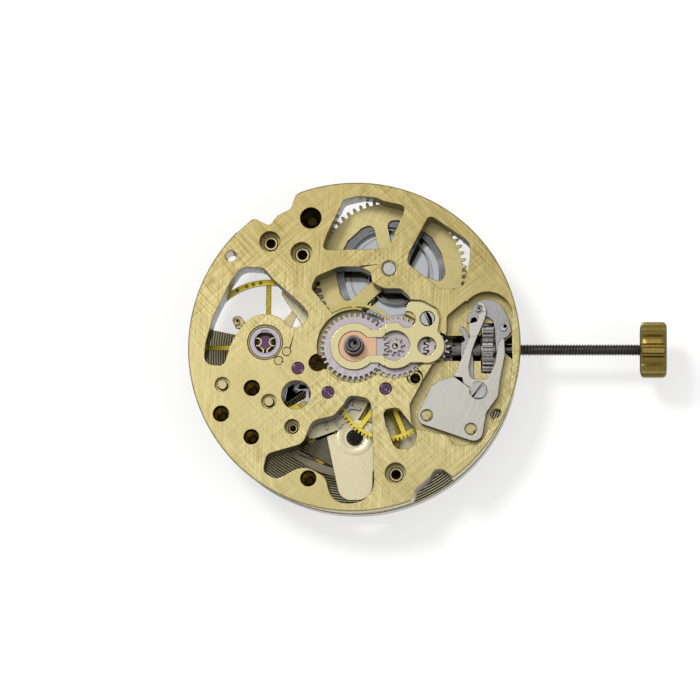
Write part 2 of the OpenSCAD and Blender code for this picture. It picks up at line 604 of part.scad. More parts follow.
// The thread is drawn as rings of its own pitch, rising to the crown
module stem_thread() {
    count = floor((crown_x - 12.7) / thread_pitch);
    lead = crown_x - 12.7 - count * thread_pitch;
    root = thread_r - 0.1;
    translate([0, 0, 12.7]) rotate_extrude($fn = 48) polygon([[0, 0], [root, 0], [root, lead],
        for (i = [0:count - 1]) each [[root, lead + i * thread_pitch],
            [thread_r, lead + (i + 0.5) * thread_pitch]],
        [root, crown_x - 12.7], [root, crown_x - 12.7 + 1.4], [0, crown_x - 12.7 + 1.4]]);
}
module crown() {
    r = crown_d / 2;
    depth = 0.2;
    color(brass) translate([crown_x, 0, stem_z]) rotate([0, 90, 0]) difference() {
        linear_extrude(crown_w) polygon([for (i = [0:crown_flutes - 1], j = [0:7])
            let (a = 360 / crown_flutes * (i + j / 8), lift = j < 4 ? 1 : cos(45 * (j - 4) - 90))
            polar(r - (j < 5 ? 0 : depth * lift), a)]);
        translate([0, 0, -1]) cylinder(r = thread_r - 0.1, h = 2.4, $fn = 48);
    }
}
winding_teeth = 24;
module winding_pinion() {
    color(dark_steel) translate([winding_x, 0, stem_z]) rotate([0, 90, 0]) difference() {
        union() {
            linear_extrude(winding_w) polygon(tooth_ring(winding_teeth,
                2 * winding_r / (winding_teeth + 2), 0, 0.5, 1, 1.1));
            translate([0, 0, winding_w]) cylinder(r = 0.65, h = 0.13, $fn = 48);
            translate([0, 0, -0.12]) clutch_teeth(0.12);
        }
        translate([0, 0, -1]) cylinder(r = 0.34 + run_gap, h = 3, $fn = 48);
    }
}
// Ring of slanted clutch teeth between the two pinions
module clutch_teeth(h) {
    linear_extrude(h) difference() {
        union() {
            circle(r = 0.55, $fn = 48);
            for (i = [0:7]) rotate(45 * i) polygon([[0.5, -0.1], [0.84, -0.16], [0.84, 0.1]]);
        }
        circle(r = 0.4, $fn = 48);
    }
}
module sliding_pinion() {
    color(dark_steel) translate([clutch_x, 0, stem_z]) rotate([0, 90, 0]) difference() {
        union() {
            cylinder(r = clutch_r - 0.22, h = clutch_w, $fn = 48);
            cylinder(r = clutch_r, h = groove_x - clutch_x, $fn = 48);
            translate([0, 0, groove_x - clutch_x + groove_w])
                cylinder(r = clutch_r, h = clutch_w - groove_x + clutch_x - groove_w, $fn = 48);
        }
        translate([-square_w / 2 - run_gap, -square_w / 2 - run_gap, -1])
            cube([square_w + 2 * run_gap, square_w + 2 * run_gap, 5]);
        for (i = [0:11]) rotate(30 * i + 15)
            translate([0.62, -0.08, -0.01]) cube([0.3, 0.16, 0.26]);
    }
}

// Barrel: a toothed plate with three arms over a drum, closed by a polished cover
drum_wall = 0.2;
barrel_arm_phase = 102.5;
module barrel_drum() {
    color(brass) translate([barrel_at.x, barrel_at.y, 0]) {
        translate([0, 0, barrel_top - flange_t]) linear_extrude(flange_t) difference() {
            wheel_teeth(barrel_teeth, barrel_m, barrel_phase);
            circle(r = 0.6 + run_gap, $fn = 48);
            for (i = [0:2]) rotate(barrel_arm_phase + 120 * i)
                polygon(outline([[0.95, 0.55, 0.2], [drum_r - 0.62, 0.55, 0.45],
                    for (k = [1:5]) [(drum_r - 0.52) * cos(20 * k), (drum_r - 0.52) * sin(20 * k), 0],
                    [-(drum_r - 0.62) * 0.5 + 0.48, (drum_r - 0.62) * 0.866 + 0.27, 0.45],
                    [0, 1.1, 0.2]]));
        }
        translate([0, 0, barrel_top - flange_t - drum_h]) difference() {
            cylinder(r = drum_r, h = drum_h, $fn = 96);
            translate([0, 0, -1]) cylinder(r = drum_r - drum_wall, h = drum_h + 2, $fn = 96);
        }
    }
}
module barrel_cover() {
    color(steel) difference() {
        disc(barrel_at, drum_r, cover_z, cover_z + cover_t);
        disc(barrel_at, 0.6 + run_gap, cover_z - 1, cover_z + 1);
    }
}
// A flat spiral strip, from inner to outer radius, as one unbroken band
function spiral(r0, r1, turns, side, phase, per_turn) = let (n = ceil(turns * per_turn))
    [for (i = [0:n]) polar(r0 + (r1 - r0) * i / n + side, phase + 360 * turns * i / n)];
function backwards(v) = [for (i = [len(v) - 1:-1:0]) v[i]];
module spiral_strip(r0, r1, turns, t, phase, per_turn) {
    polygon([each spiral(r0, r1, turns, -t / 2, phase, per_turn),
        each backwards(spiral(r0, r1, turns, t / 2, phase, per_turn))]);
}
spring_r0 = 0.95 + spring_t / 2;
spring_r1 = drum_r - drum_wall - spring_t / 2 - 0.01;
spring_gap = (spring_r1 - spring_r0) / spring_turns - spring_t;
echo(mainspring_least_gap = spring_gap);
module mainspring() {
    color([0.5, 0.5, 0.53])
        translate([barrel_at.x, barrel_at.y, barrel_top - flange_t - drum_h + 0.03])
        linear_extrude(drum_h - 0.06)
        spiral_strip(spring_r0, spring_r1, spring_turns, spring_t, 30, 24);
}
module barrel_arbor() {
    color(steel) difference() {
        union() {
            disc(barrel_at, 0.51, cover_z - 0.06, dial_z - 0.12);
            disc(barrel_at, 0.6, cover_z - 0.02, barrel_top + 0.02);
            disc(barrel_at, 0.95, cover_z + cover_t + 0.02, barrel_top - flange_t - 0.02);
            disc(barrel_at, 0.51, ratchet_z + ratchet_t + 0.02, cover_z);
            translate([barrel_at.x - 0.35, barrel_at.y - 0.35, ratchet_z])
                cube([0.7, 0.7, ratchet_t + 0.02]);
        }
        disc(barrel_at, 0.18, ratchet_z - 1, ratchet_z + 0.9);
    }
}
ratchet_teeth = 44;
crown_wheel_teeth = 32;
ratchet_z = bridge_z;
winding_m = tooth_size(crown_wheel_at, barrel_at, crown_wheel_teeth, ratchet_teeth);
crown_wheel_phase = 360 / crown_wheel_teeth / 2;
ratchet_phase = mesh_phase(crown_wheel_at, barrel_at, crown_wheel_teeth, ratchet_teeth,
    crown_wheel_phase);
module ratchet_wheel() {
    color(steel) difference() {
        translate([barrel_at.x, barrel_at.y, ratchet_z]) linear_extrude(ratchet_t)
            wheel_teeth(ratchet_teeth, winding_m, ratchet_phase);
        translate([barrel_at.x - 0.36, barrel_at.y - 0.36, ratchet_z - 1]) cube([0.72, 0.72, 2]);
    }
}
module crown_wheel() {
    color(steel) difference() {
        translate([crown_wheel_at.x, crown_wheel_at.y, ratchet_z]) linear_extrude(ratchet_t + 0.06)
            wheel_teeth(crown_wheel_teeth, winding_m, crown_wheel_phase);
        disc(crown_wheel_at, 0.8 + run_gap, ratchet_z - 1, 0);
    }
}
click_at = [-2.4, 9.02];
module click() {
    color(steel) difference() {
        slab([[-2.95, 9.3, 0.25], [-2.2, 9.5, 0.35], [-1.2, 8.6, 0.06], [-1.4, 8.4, 0.04],
            [-2.1, 8.5, 0.3], [-2.85, 8.75, 0.25]], ratchet_z, ratchet_z + ratchet_t);
        disc(click_at, 0.25 + run_gap, ratchet_z - 1, 0);
    }
}
module click_spring() {
    color(steel) {
        disc([-4, 8.9], 0.28, ratchet_z, ratchet_z + ratchet_t);
        translate([-4, 8.9, ratchet_z]) rotate(16) translate([0, -0.05, 0])
            cube([1.02, 0.1, ratchet_t]);
    }
}

// Going train wheels and their arbors
module train_wheel(at, n, m, phase, top, hub_r, bore_r, arms, arm_w, arm_phase) {
    color(gilt) translate([at.x, at.y, top - wheel_t]) linear_extrude(wheel_t)
        crossed_wheel(n, m, phase, n * m / 2 - 3.4 * m, hub_r, bore_r, arms, arm_w, arm_phase);
}
module pinion(at, n, m, phase, z0, z1) {
    translate([at.x, at.y, z0]) linear_extrude(z1 - z0) leaf_teeth(n, m, phase);
}
module centre_wheel() {
    train_wheel(centre_at, centre_teeth, centre_m, centre_phase, centre_top, 0.9, 0.42, 5, 0.36, 20);
}
module centre_arbor() {
    color(steel) {
        disc(centre_at, 0.42, centre_top - 0.3, centre_top);
        disc(centre_at, 0.3, centre_top - 0.3, dial_z + cannon_rise - 0.6);
        disc(centre_at, 0.2, barrel_top - flange_t - 0.1, centre_top);
        pinion(centre_at, centre_leaves, barrel_m, centre_pinion_phase,
            barrel_top - flange_t - 0.05, barrel_top + 0.05);
        disc(centre_at, 0.25, bridge_top - 0.3, barrel_top);
    }
}
module third_wheel() {
    train_wheel(third_at, third_teeth, third_m, third_phase, third_top, 0.75, 0.3, 6, 0.34, -67);
}
module third_arbor() {
    color(steel) {
        arbor(third_at, -3.3, dial_z - 0.7, 0.3, 0.1, 0.35);
        pinion(third_at, third_leaves, centre_m, third_pinion_phase, -1.2, -0.9);
    }
}
module fourth_wheel() {
    train_wheel(fourth_at, fourth_teeth, fourth_m, fourth_phase, fourth_top, 0.7, 0.22, 5, 0.3, 0);
}
module fourth_arbor() {
    color(steel) {
        arbor(fourth_at, -3.3, -1.25, 0.22, 0.1, 0.35);
        disc(fourth_at, 0.22, -2.6, -1.3);
        pinion(fourth_at, fourth_leaves, third_m, fourth_pinion_phase, -1.6, third_top + 0.05);
    }
}
// Club-toothed escape wheel, its tip radius set by the distance to the pallets
escape_r = span(escape_at, pallet_at) * cos(30);
module escape_wheel() {
    step = 360 / escape_teeth;
    color(steel) translate([escape_at.x, escape_at.y, escape_top - wheel_t])
        linear_extrude(wheel_t) {
        difference() {
            union() {
                circle(r = escape_r - 0.75, $fn = 96);
                for (i = [0:escape_teeth - 1]) rotate(step * i)
                    polygon([polar(escape_r - 0.8, -9), polar(escape_r - 0.4, -3.2),
                        polar(escape_r - 0.05, -1.4), polar(escape_r, 3),
                        polar(escape_r - 0.12, 3.6), polar(escape_r - 0.4, -0.4),
                        polar(escape_r - 0.8, 1)]);
            }
            circle(r = escape_r - 1, $fn = 96);
        }
        difference() {
            union() {
                circle(r = 0.5, $fn = 48);
                for (i = [0:3]) rotate(90 * i + 10)
                    translate([0, -0.13]) square([escape_r - 0.9, 0.26]);
            }
            circle(r = 0.2, $fn = 48);
        }
    }
}
module escape_arbor() {
    color(steel) {
        arbor(escape_at, -3.3, dial_z - 0.7, 0.2, 0.08, 0.35);
        pinion(escape_at, escape_leaves, fourth_m, escape_pinion_phase, -2.5, -2.14);
    }
}
// Pallet fork: two arms that carry the stones, and a lever that ends in the horns
fork_dir = heading(pallet_at, balance_at);
fork_l = span(pallet_at, balance_at) - 0.75;
fork_top = escape_top + 0.03;
fork_t = 0.2;
function stone_places() = [for (s = [-1, 1])
    escape_at + polar(escape_r + 0.12, heading(escape_at, pallet_at) + 31 * s)];
module pallet_fork() {
    color(steel) translate([0, 0, fork_top - fork_t]) linear_extrude(fork_t) difference() {
        union() {
            translate(pallet_at) circle(r = 0.42, $fn = 48);
            for (p = stone_places()) {
                a = heading(pallet_at, p);
                translate(pallet_at) rotate(a) translate([0, -0.17])
                    square([span(pallet_at, p) - 0.12, 0.34]);
            }
            translate(pallet_at) rotate(fork_dir) polygon([[0, -0.2], [fork_l - 0.5, -0.12],
                [fork_l - 0.3, -0.36], [fork_l + 0.12, -0.3], [fork_l + 0.02, -0.13],
                [fork_l - 0.28, -0.11], [fork_l - 0.28, 0.11], [fork_l + 0.02, 0.13],
                [fork_l + 0.12, 0.3], [fork_l - 0.3, 0.36], [fork_l - 0.5, 0.12], [0, 0.2]]);
        }
        translate(pallet_at) circle(r = 0.14, $fn = 48);
    }
    color(steel) arbor(pallet_at, -2.1, dial_z - 0.7, 0.14, 0.07, 0.35);
}
module pallet_stones() {
    color(ruby) translate([0, 0, fork_top - fork_t]) for (p = stone_places()) {
        a = heading(pallet_at, p);
        b = heading(escape_at, p);
        translate([p.x, p.y, 0]) rotate(a) translate([-0.12, -0.17, 0]) cube([0.1, 0.34, fork_t]);
        translate([p.x, p.y, 0]) rotate(b) translate([-0.22, -0.1, 0]) cube([0.2, 0.2, fork_t]);
    }
}
// Balance with four arms and small poising holes in its rim
module balance_wheel() {
    rim_r = balance_r - balance_rim_w;
    color(gilt) translate([balance_at.x, balance_at.y, balance_top - balance_rim_h]) {
        difference() {
            cylinder(r = balance_r, h = balance_rim_h, $fn = 96);
            translate([0, 0, -1]) cylinder(r = rim_r, h = 2, $fn = 96);
            for (a = [97, 103.5, 109.5, 118.5]) rotate(a)
                translate([balance_r - balance_rim_w / 2, 0, balance_rim_h - 0.15])
                cylinder(r = 0.13, h = 1, $fn = 24);
        }
        translate([0, 0, 0.1]) linear_extrude(0.18) difference() {
            union() {
                circle(r = 0.9, $fn = 48);
                for (i = [0:3]) rotate(90 * i) translate([0, -0.2]) square([rim_r + 0.03, 0.4]);
            }
            circle(r = 0.35, $fn = 48);
        }
    }
}
module balance_staff() {
    color(steel) {
        arbor(balance_at, cock_jewel_z, -0.18, 0.25, 0.08, 0.2);
        disc(balance_at, 0.35, balance_top - balance_rim_h - 0.2, balance_top);
        disc(balance_at, 0.45, hair_z - 0.03, hair_z + 0.16);
    }
}
roller_top = -1.85;
module roller() {
    color(steel) difference() {
        union() {
            disc(balance_at, 1, roller_top - 0.12, roller_top);
            disc(balance_at, 0.5, roller_top, fork_top - 0.3);
        }
        disc(balance_at, 0.25, -3, 0);
    }
    color(ruby) disc(balance_at + polar(0.72, fork_dir + 180), 0.09, roller_top, fork_top);
}
hair_z = -2.95;
hair_h = 0.1;
hair_r0 = 0.5;
hair_r1 = 2.3;
hair_t = 0.05;
stud_at = [-9.5, 2.45];
stud_a = heading(balance_at, stud_at);
echo(hairspring_least_gap = (hair_r1 - hair_r0) / hair_turns - hair_t);
module hairspring() {
    color([0.45, 0.47, 0.6]) translate([balance_at.x, balance_at.y, hair_z])
        linear_extrude(hair_h)
        spiral_strip(hair_r0, hair_r1, hair_turns, hair_t, stud_a - 360 * hair_turns, 24);
}
// Balance cock: from its foot near the rim to the upper bearing of the balance
cock_top = -3.05;
cock_jewel_z = -3.45;
module balance_cock() {
    color(brass) difference() {
        union() {
            slab([[-9.1, 1.3, 0.4], [-8.4, 2, 0.4], [-6.4, 2.35, 1], [-4.9, 0.6, 1.1],
                [-5.6, -3.5, 2], [-6.4, -7.8, 0.8], [-9, -9, 0.8], [-10.9, -6.4, 0.8],
                [-11.3, -4.9, 0.4], [-10.1, -4.5, 0.4], [-9.4, -3.4, 1.5], [-9.2, 0.6, 1]],
                bridge_z, cock_top);
            slab([[-6.9, -6.3, 0.4], [-6.4, -7.8, 0.8], [-9, -9, 0.8], [-10.9, -6.4, 0.8],
                [-11.3, -4.9, 0.4], [-10.3, -4.75, 0.3]], cock_top - 0.01, plate_z);
        }
        disc(balance_at, 1.05, bridge_z - 1, cock_top + 1);
        at_each([screw_places[0]]) screw_hole(bridge_z);
        for (p = [steady_places[0], steady_places[1]]) disc(p, 0.25, bridge_z - 1, 0);
    }
}
module regulator() {
    color(steel) difference() {
        slab([[-8.35, -1, 1.3], [-5.5, -1, 1.3], [-5.5, 1.4, 1.3], [-4.6, 3.6, 0.2],
            [-5, 3.8, 0.15], [-6.6, 1.7, 0.6], [-8.35, 1.7, 1.2]], bridge_z - 0.14, bridge_z);
        disc(balance_at, 1.1, -5, 0);
    }
}
module stud_holder() {
    color(steel) difference() {
        union() {
            slab([[-9.95, 2.85, 0.25], [-9.25, 2.98, 0.25], [-8.85, 2.5, 0.15], [-9.1, 1.95, 0.1],
                [-9.55, 1.95, 0.15]], cock_top, cock_top + 0.17);
            slab([[-9.25, 2.7, 0.15], [-8.85, 2.5, 0.15], [-7.95, 1.35, 0.2], [-8.35, 0.85, 0.2],
                [-9.35, 1.9, 0.2]], cock_top, cock_top + 0.07);
        }
        disc(stud_at, 0.26, -4, 0);
    }
    color(brass) disc(stud_at, 0.26, cock_top, cock_top + 0.35);
    color(steel) translate([balance_at.x, balance_at.y, hair_z]) rotate(stud_a)
        translate([hair_r1 + hair_t / 2 + 0.01, -0.08, 0]) cube([0.9, 0.16, 0.1]);
}
// Shock settings of the balance, one in the plate and one in the cock
module shock_settings() {
    color(steel) {
        difference() {
            disc(balance_at, shock_r, -0.6, dial_z - 0.08);
            disc(balance_at, shock_r - 0.12, dial_z - 0.16, 1);
            disc(balance_at, 1.0, 0.05, 1);
            disc(balance_at, 0.55, -0.35, 1);
            disc(balance_at, 0.3, -1, 1);
        }
        difference() {
            disc(balance_at, 1.21, dial_z - 0.16, dial_z - 0.1);
            disc(balance_at, 0.83, 0, 1);
            translate([balance_at.x - 0.3, balance_at.y, 0]) cube([0.6, 3, 1]);
        }
        difference() {
            disc(balance_at, 1.05, bridge_z - 0.14, cock_top);
            disc(balance_at, 0.98, bridge_z - 1, bridge_z - 0.02);
            disc(balance_at, 0.55, bridge_z - 1, -3.3);
            disc(balance_at, 0.3, -4, 0);
        }
    }
}
// Lyre springs that hold the cap jewels down
module lyre(z, h) {
    translate([balance_at.x, balance_at.y, z]) linear_extrude(h) for (s = [-1, 1]) scale([s, 1]) {
        difference() {
            translate([0.62, 0.05]) circle(r = 0.34, $fn = 32);
            translate([0.62, 0.05]) circle(r = 0.26, $fn = 32);
            translate([0.7, -1]) square([1, 2]);
        }
        polygon([[0.5, -0.25], [0.58, -0.2], [0.2, -0.6], [0.22, -0.95], [0.12, -0.95],
            [0.1, -0.55]]);
    }
}
module shock_springs() {
    color(gilt) {
        lyre(0.21, 0.06);
        lyre(bridge_z - 0.1, 0.06);
    }
}
module shock_jewels() {
    color(ruby) {
        difference() {
            disc(balance_at, 0.54, -0.34, 0.2);
            disc(balance_at, 0.1, -1, -0.12);
        }
        difference() {
            disc(balance_at, 0.54, bridge_z - 0.03, -3.31);
            disc(balance_at, 0.1, cock_jewel_z - 0.02, 0);
        }
    }
}
jewel_z = -0.57;
module jewel(at, z0, z1, bore_r) {
    difference() {
        disc(at, jewel_r, z0, z1);
        disc(at, bore_r, z0 - 1, z1 - 0.06);
        disc(at, 0.22, z1 - 0.1, z1 + 1);
    }
}
module plate_jewels() {
    color(ruby) {
        jewel(third_at, jewel_z, dial_z - 0.12, 0.12);
        jewel(escape_at, jewel_z, dial_z - 0.12, 0.1);
        jewel(pallet_at, jewel_z, dial_z - 0.12, 0.09);
        difference() {
            disc(fourth_at, 0.62, -1.98, fourth_bridge_top - 0.04);
            disc(fourth_at, 0.22 + run_gap, -3, 0);
        }
    }
}
module bridge_jewels() {
    color(ruby) for (p = [third_at, fourth_at, escape_at]) difference() {
        disc(p, jewel_r, -3.42, -3.02);
        disc(p, 0.12, -4, 0);
    }
}
fourth_bridge_top = -1.76;
module fourth_bridge() {
    color(brass) difference() {
        union() {
            slab(fourth_bridge_outline, fourth_bridge_top - 0.22, fourth_bridge_top);
        }
        disc(fourth_at, 0.63, -3, 0);
        disc(fourth_screw_at, 0.26, -3, 0);
    }
}
// Thin guard under the fourth bridge, over the seconds wheel
guard_z = fourth_bridge_top - 0.36;
module wheel_guard() {
    color(dark_steel) difference() {
        slab([[-3.7, -7.75, 0.15], [-3.3, -7.25, 0.2], [-2.35, -6.82, 0.2], [-1.3, -6.45, 0.2],
            [1, -5.8, 0.3], [1, -8.2, 0.3], [-1.7, -9.2, 0.1], [-2.1, -8.95, 0.1],
            [-2.7, -8.6, 0.1], [-3.55, -8.2, 0.15]], guard_z, guard_z + 0.14);
        disc(fourth_at, 0.4, -3, 0);
    }
}
// Curved spring beside the guard, its foot under the fourth bridge
module seconds_spring() {
    color(steel) slab([[-4.75, -8.1, 0.12], [-3.7, -8.5, 2], [-2.3, -9.05, 3], [-1.3, -9.35, 0.5],
        [-0.5, -9.5, 0.2], [-0.5, -10.05, 0.2], [-1.6, -9.95, 1], [-2.8, -9.6, 3], [-4, -8.98, 3],
        [-4.95, -8.4, 0.12]], guard_z, guard_z + 0.14);
}
pallet_bridge_top = -1.9;
pallet_bridge_outline = [[-5.4, -2.7, 0.5], [-4.6, -1, 0.5], [-3.4, -1.2, 0.6], [-0.9, -2.3, 0.8],
    [1.2, -3.2, 0.5], [0.95, -4.3, 0.4], [0.35, -5.35, 0.3], [-0.25, -5.92, 0.3], [-3.3, -7, 0.2],
    [-3.7, -6.9, 0.2], [-6, -5.9, 0.6]];
module pallet_bridge() {
    color(brass) difference() {
        slab(pallet_bridge_outline, pallet_bridge_top - 0.22, pallet_bridge_top);
        disc(escape_at, 0.55, -3, 0);
        disc(pallet_window_at, 1.25, -3, 0);
        translate([-7.5, -5.1, -3]) cube([3.02, 2.5, 3]);
        disc(pallet_at, 0.09, -3, 0);
        disc(small_screws[1], 0.26, -3, 0);
    }
}
screw_places = [[-7.93, -7.16], [3.33, -9.98], [6.55, -5.35], [-4.19, 7.41], [10.2, 4.1]];
small_screws = [fourth_screw_at, [-4.6, -5.4]];
auto_screws = [[-4, 6.9], [4.6, -5.4]];
steady_places = [[-8.6, -8.05], [-10.33, -5.34], [2.95, -11.2], [6.95, -4.55], [-4.9, 8.7],
    [9.6, 4.9]];
// Counterbored screw hole in a bridge whose back face is at z
module screw_hole(z) {
    translate([0, 0, z - 1]) cylinder(r = 0.62, h = 1.15, $fn = 48);
    translate([0, 0, z]) cylinder(r = 0.3, h = 3, $fn = 48);
}
train_z = -3.5;
module train_bridge() {
    color(brass) difference() {
        union() {
            slab([[-3, -3.4, 0.8], [-2, -2.6, 0.8], [2.4, -2.1, 0.8], [3.4, -2.5, 0.6],
                [5.2, -4, 0.6], [7.2, -4.2, 0.7], [7.4, -5.9, 0.7], [5.2, -6, 1], [4.7, -9.2, 1],
                [4.4, -11.2, 0.6], [2.4, -11.9, 0.5], [1.2, -10.2, 0.8], [0.7, -8.2, 0.6],
                [-1.1, -7.9, 0.7], [-1.6, -5.2, 1.2]], train_z, -3);
            slab([[5.8, -4.15, 0.4], [7.2, -4.2, 0.5], [7.4, -5.9, 0.7], [5.8, -5.85, 0.4]],
                -3.01, plate_z);
            slab([[2.75, -9.75, 0.3], [4.6, -9.1, 0.4], [4.4, -11.2, 0.6], [2.4, -11.9, 0.5],
                [2.2, -10.9, 0.3]], -3.01, plate_z);
        }
        for (p = [third_at, fourth_at, escape_at]) disc(p, jewel_r, -4, 0);
        at_each([screw_places[1], screw_places[2]]) screw_hole(train_z);
        for (p = [steady_places[2], steady_places[3]]) disc(p, 0.25, -4, 0);
        disc(auto_screws[1], 0.2, -4, 0);
    }
}
module barrel_bridge() {
    ratchet_tip = ratchet_teeth * winding_m / 2 + winding_m;
    crown_tip = crown_wheel_teeth * winding_m / 2 + winding_m;
    color(brass) difference() {
        union() {
            slab([[-5.6, 7.7, 0.7], [-5.2, 9.7, 0.8], [-1.5, 9.8, 2], [2.4, 10.4, 3],
                [6.9, 9.3, 2.5], [8.9, 6.2, 1.5], [10.3, 5.6, 0.6], [11.3, 3.5, 0.6],
                [10.9, -1.5, 1.2], [8.8, -3.7, 1], [5.8, -3.5, 1], [3.7, -1.4, 0.8],
                [1, -1.1, 0.8], [-1, -1, 0.8], [-1.6, 1.2, 1], [-4.1, 1.9, 0.5], [-6, 4.7, 0.4],
                [-5.9, 6.5, 0.6]], bridge_z, bridge_top);
            slab([[-5.35, 7.8, 0.6], [-5, 9.45, 0.6], [-4, 9.3, 0.4], [-3.5, 8, 0.4],
                [-3.65, 6.85, 0.3], [-4.7, 6.85, 0.4]], bridge_top - 0.1, plate_z);
            slab([[9.15, 5.2, 0.3], [10.15, 5.3, 0.5], [11.05, 3.7, 0.5], [9.95, 3.25, 0.4],
                [9.5, 4, 0.3]], bridge_top - 0.1, plate_z);
        }
        disc(barrel_at, ratchet_tip + 0.1, bridge_z - 1, ratchet_z + ratchet_t + 0.05);
        disc(crown_wheel_at, crown_tip + 0.1, bridge_z - 1, ratchet_z + ratchet_t + 0.11);
        disc(crown_wheel_at, 0.35, bridge_z - 1, 0);
        disc(auto_screws[0], 0.2, bridge_z - 1, 0);
        disc(barrel_at, 0.51 + run_gap, bridge_z - 1, 0);
        disc(centre_at, 0.25 + run_gap, bridge_z - 1, 0);
        translate([winding_x - 0.15, -2.1, -3.4]) cube([winding_w + 0.3, 4.2, 1]);
        at_each([screw_places[3], screw_places[4]]) screw_hole(bridge_z);
        for (p = [steady_places[4], steady_places[5]]) disc(p, 0.25, bridge_z - 1, 0);
        disc(reverser_at, 1, bridge_z - 1, ratchet_z + ratchet_t + 0.05);
        slab([[-4.5, 9.6, 0.2], [-1, 9.6, 0.2], [-1, 8, 0.1], [-4.5, 8.4, 0.2]],
            bridge_z - 1, ratchet_z + ratchet_t + 0.03);
    }
    color(brass) disc(click_at, 0.25, ratchet_z, ratchet_z + ratchet_t + 0.03);
}
// Screws that hold the bridges, and the large one that the crown wheel turns on
module back_screw(at, z) {
    translate([at.x, at.y, 0]) mirror([0, 0, 1]) screw([0, 0], 0.6, 0.14, 0.29, -z - 1.3, -z - 0.01, 35);
}
module small_screw(at, z) {
    disc(at, 0.44, z, z + 0.13);
    disc(at, 0.19, z + 0.13, z + 0.75);
}
module bridge_screws() {
    color(steel) {
        difference() {
            union() {
                disc(crown_wheel_at, 0.8, ratchet_z - 0.02, ratchet_z + ratchet_t + 0.08);
                disc(crown_wheel_at, 0.35, ratchet_z, bridge_top);
            }
            translate([crown_wheel_at.x, crown_wheel_at.y, ratchet_z])
                rotate(25) cube([4, 0.16, 0.16], center = true);
        }
        for (i = [0, 3, 4]) back_screw(screw_places[i], bridge_z);
        for (i = [1, 2]) back_screw(screw_places[i], train_z);
        for (p = auto_screws) small_screw(p, auto_z);
        small_screw(fourth_screw_at, fourth_bridge_top - 0.35);
        small_screw(small_screws[1], pallet_bridge_top - 0.35);
    }
}
// Pressed brass pins: steady pins, banking pins and the two posts of the setting bridge
module steady_pins() {
    color(brass) {
        for (p = steady_places) disc(p, 0.24, -3.4, -1.35);
        for (p = pin_places) disc(p, pin_r - 0.01, plate_z, dial_z - 0.06);
        for (p = banking_places) disc(p, banking_r - 0.01, -0.4, dial_z);
        for (p = post_places) {
            disc(p, post_r - 0.01, -1, setting_z + setting_t);
            disc(p, post_r + 0.15, keyless_floor, setting_z - 0.01);
        }
    }
}
rotor_gear_r = 2;
module automatic_bridge() {
    color(brass) difference() {
        union() {
            slab([[-2.6, -2.4, 1.2], [2.2, -2.4, 1], [4, -6.2, 0.7], [5.4, -5.6, 0.6],
                [4.6, -2.2, 1], [2.8, 2.2, 1], [-0.2, 5, 1.3], [-3.3, 7.6, 0.6],
                [-4.7, 7.2, 0.6], [-4.4, 5.9, 0.6], [-3, 2.5, 1.5]], auto_z, auto_top);
            disc(auto_screws[0], 0.5, auto_top - 0.01, bridge_z);
            disc(auto_screws[1], 0.5, auto_top - 0.01, train_z);
        }
        at_each(auto_screws) {
            translate([0, 0, auto_z - 1]) cylinder(r = 0.46, h = 1.15, $fn = 48);
            translate([0, 0, auto_z]) cylinder(r = 0.21, h = 3, $fn = 48);
        }
        disc(centre_at, 0.6, -5, 0);
        disc(reverser_at, 0.2 + run_gap, -5, 0);
    }
}
module bearing_race() {
    color(steel) difference() {
        union() {
            disc(centre_at, 0.59, -4.9, auto_top - 0.1);
            disc(centre_at, 0.8, -4.95, -4.75);
            disc(centre_at, 1.5, rotor_z, -4.9);
        }
        translate([0, 0, rotor_z]) cube([4, 0.2, 0.3], center = true);
    }
}
// Rotor: a half disc on a ball bearing hub, with the toothed ring that drives the reverser
rotor_hub_r = 2.6;
auto_gear_z = -4.5;
rotor_teeth = 40;
reverser_teeth = 38;
auto_m = tooth_size(centre_at, reverser_at, rotor_teeth, reverser_teeth);
rotor_gear_phase = 0;
reverser_phase = mesh_phase(centre_at, reverser_at, rotor_teeth, reverser_teeth, rotor_gear_phase);
module half_disc(r, z0, z1, drop) {
    rotate(rotor_rest) intersection() {
        disc(centre_at, r, z0, z1);
        translate([-r - 1, -r - 1, z0 - 1]) cube([2 * r + 2, r + 1 - drop, z1 - z0 + 2]);
    }
}
module rotor() {
    color(steel) difference() {
        union() {
            half_disc(weight_r, rotor_top - rotor_t, rotor_top, 0.35);
            disc(centre_at, rotor_hub_r, rotor_top - rotor_t, rotor_top);
            translate([0, 0, rotor_top]) linear_extrude(auto_gear_z + 0.2 - rotor_top) difference() {
                wheel_teeth(rotor_teeth, auto_m, rotor_gear_phase);
                circle(r = 1.3, $fn = 48);
            }
        }
        disc(centre_at, 0.8 + run_gap, -6, rotor_top - rotor_t + 0.15);
        disc(centre_at, 0.59 + run_gap, -6, 0);
        rotate(rotor_rest) for (a = [-150, -110, -70, -30])
            slab([[3.4 * cos(a - 14), 3.4 * sin(a - 14), 0.3], [3.4 * cos(a + 14), 3.4 * sin(a + 14), 0.3],
                [7.6 * cos(a + 15), 7.6 * sin(a + 15), 0.8], [7.6 * cos(a - 15), 7.6 * sin(a - 15), 0.8]],
                -6, 0);
    }
}
module rotor_weight() {
    color(dark_steel) difference() {
        half_disc(rotor_r, rotor_z, weight_top, 0.35);
        disc(centre_at, weight_r, rotor_z - 1, weight_top + 1);
        disc(centre_at, weight_r + 0.6, rotor_top - rotor_t - 1, rotor_top - rotor_t);
    }
}
module reverser_wheel() {
    color(steel) difference() {
        translate([reverser_at.x, reverser_at.y, auto_gear_z]) linear_extrude(0.2)
            wheel_teeth(reverser_teeth, auto_m, reverser_phase);
        disc(reverser_at, 0.2 + run_gap, -5, 0);
    }
}
reverser_leaves = 8;
pinion_m = 2 * (span(barrel_at, reverser_at) - ratchet_teeth * winding_m / 2) / reverser_leaves;
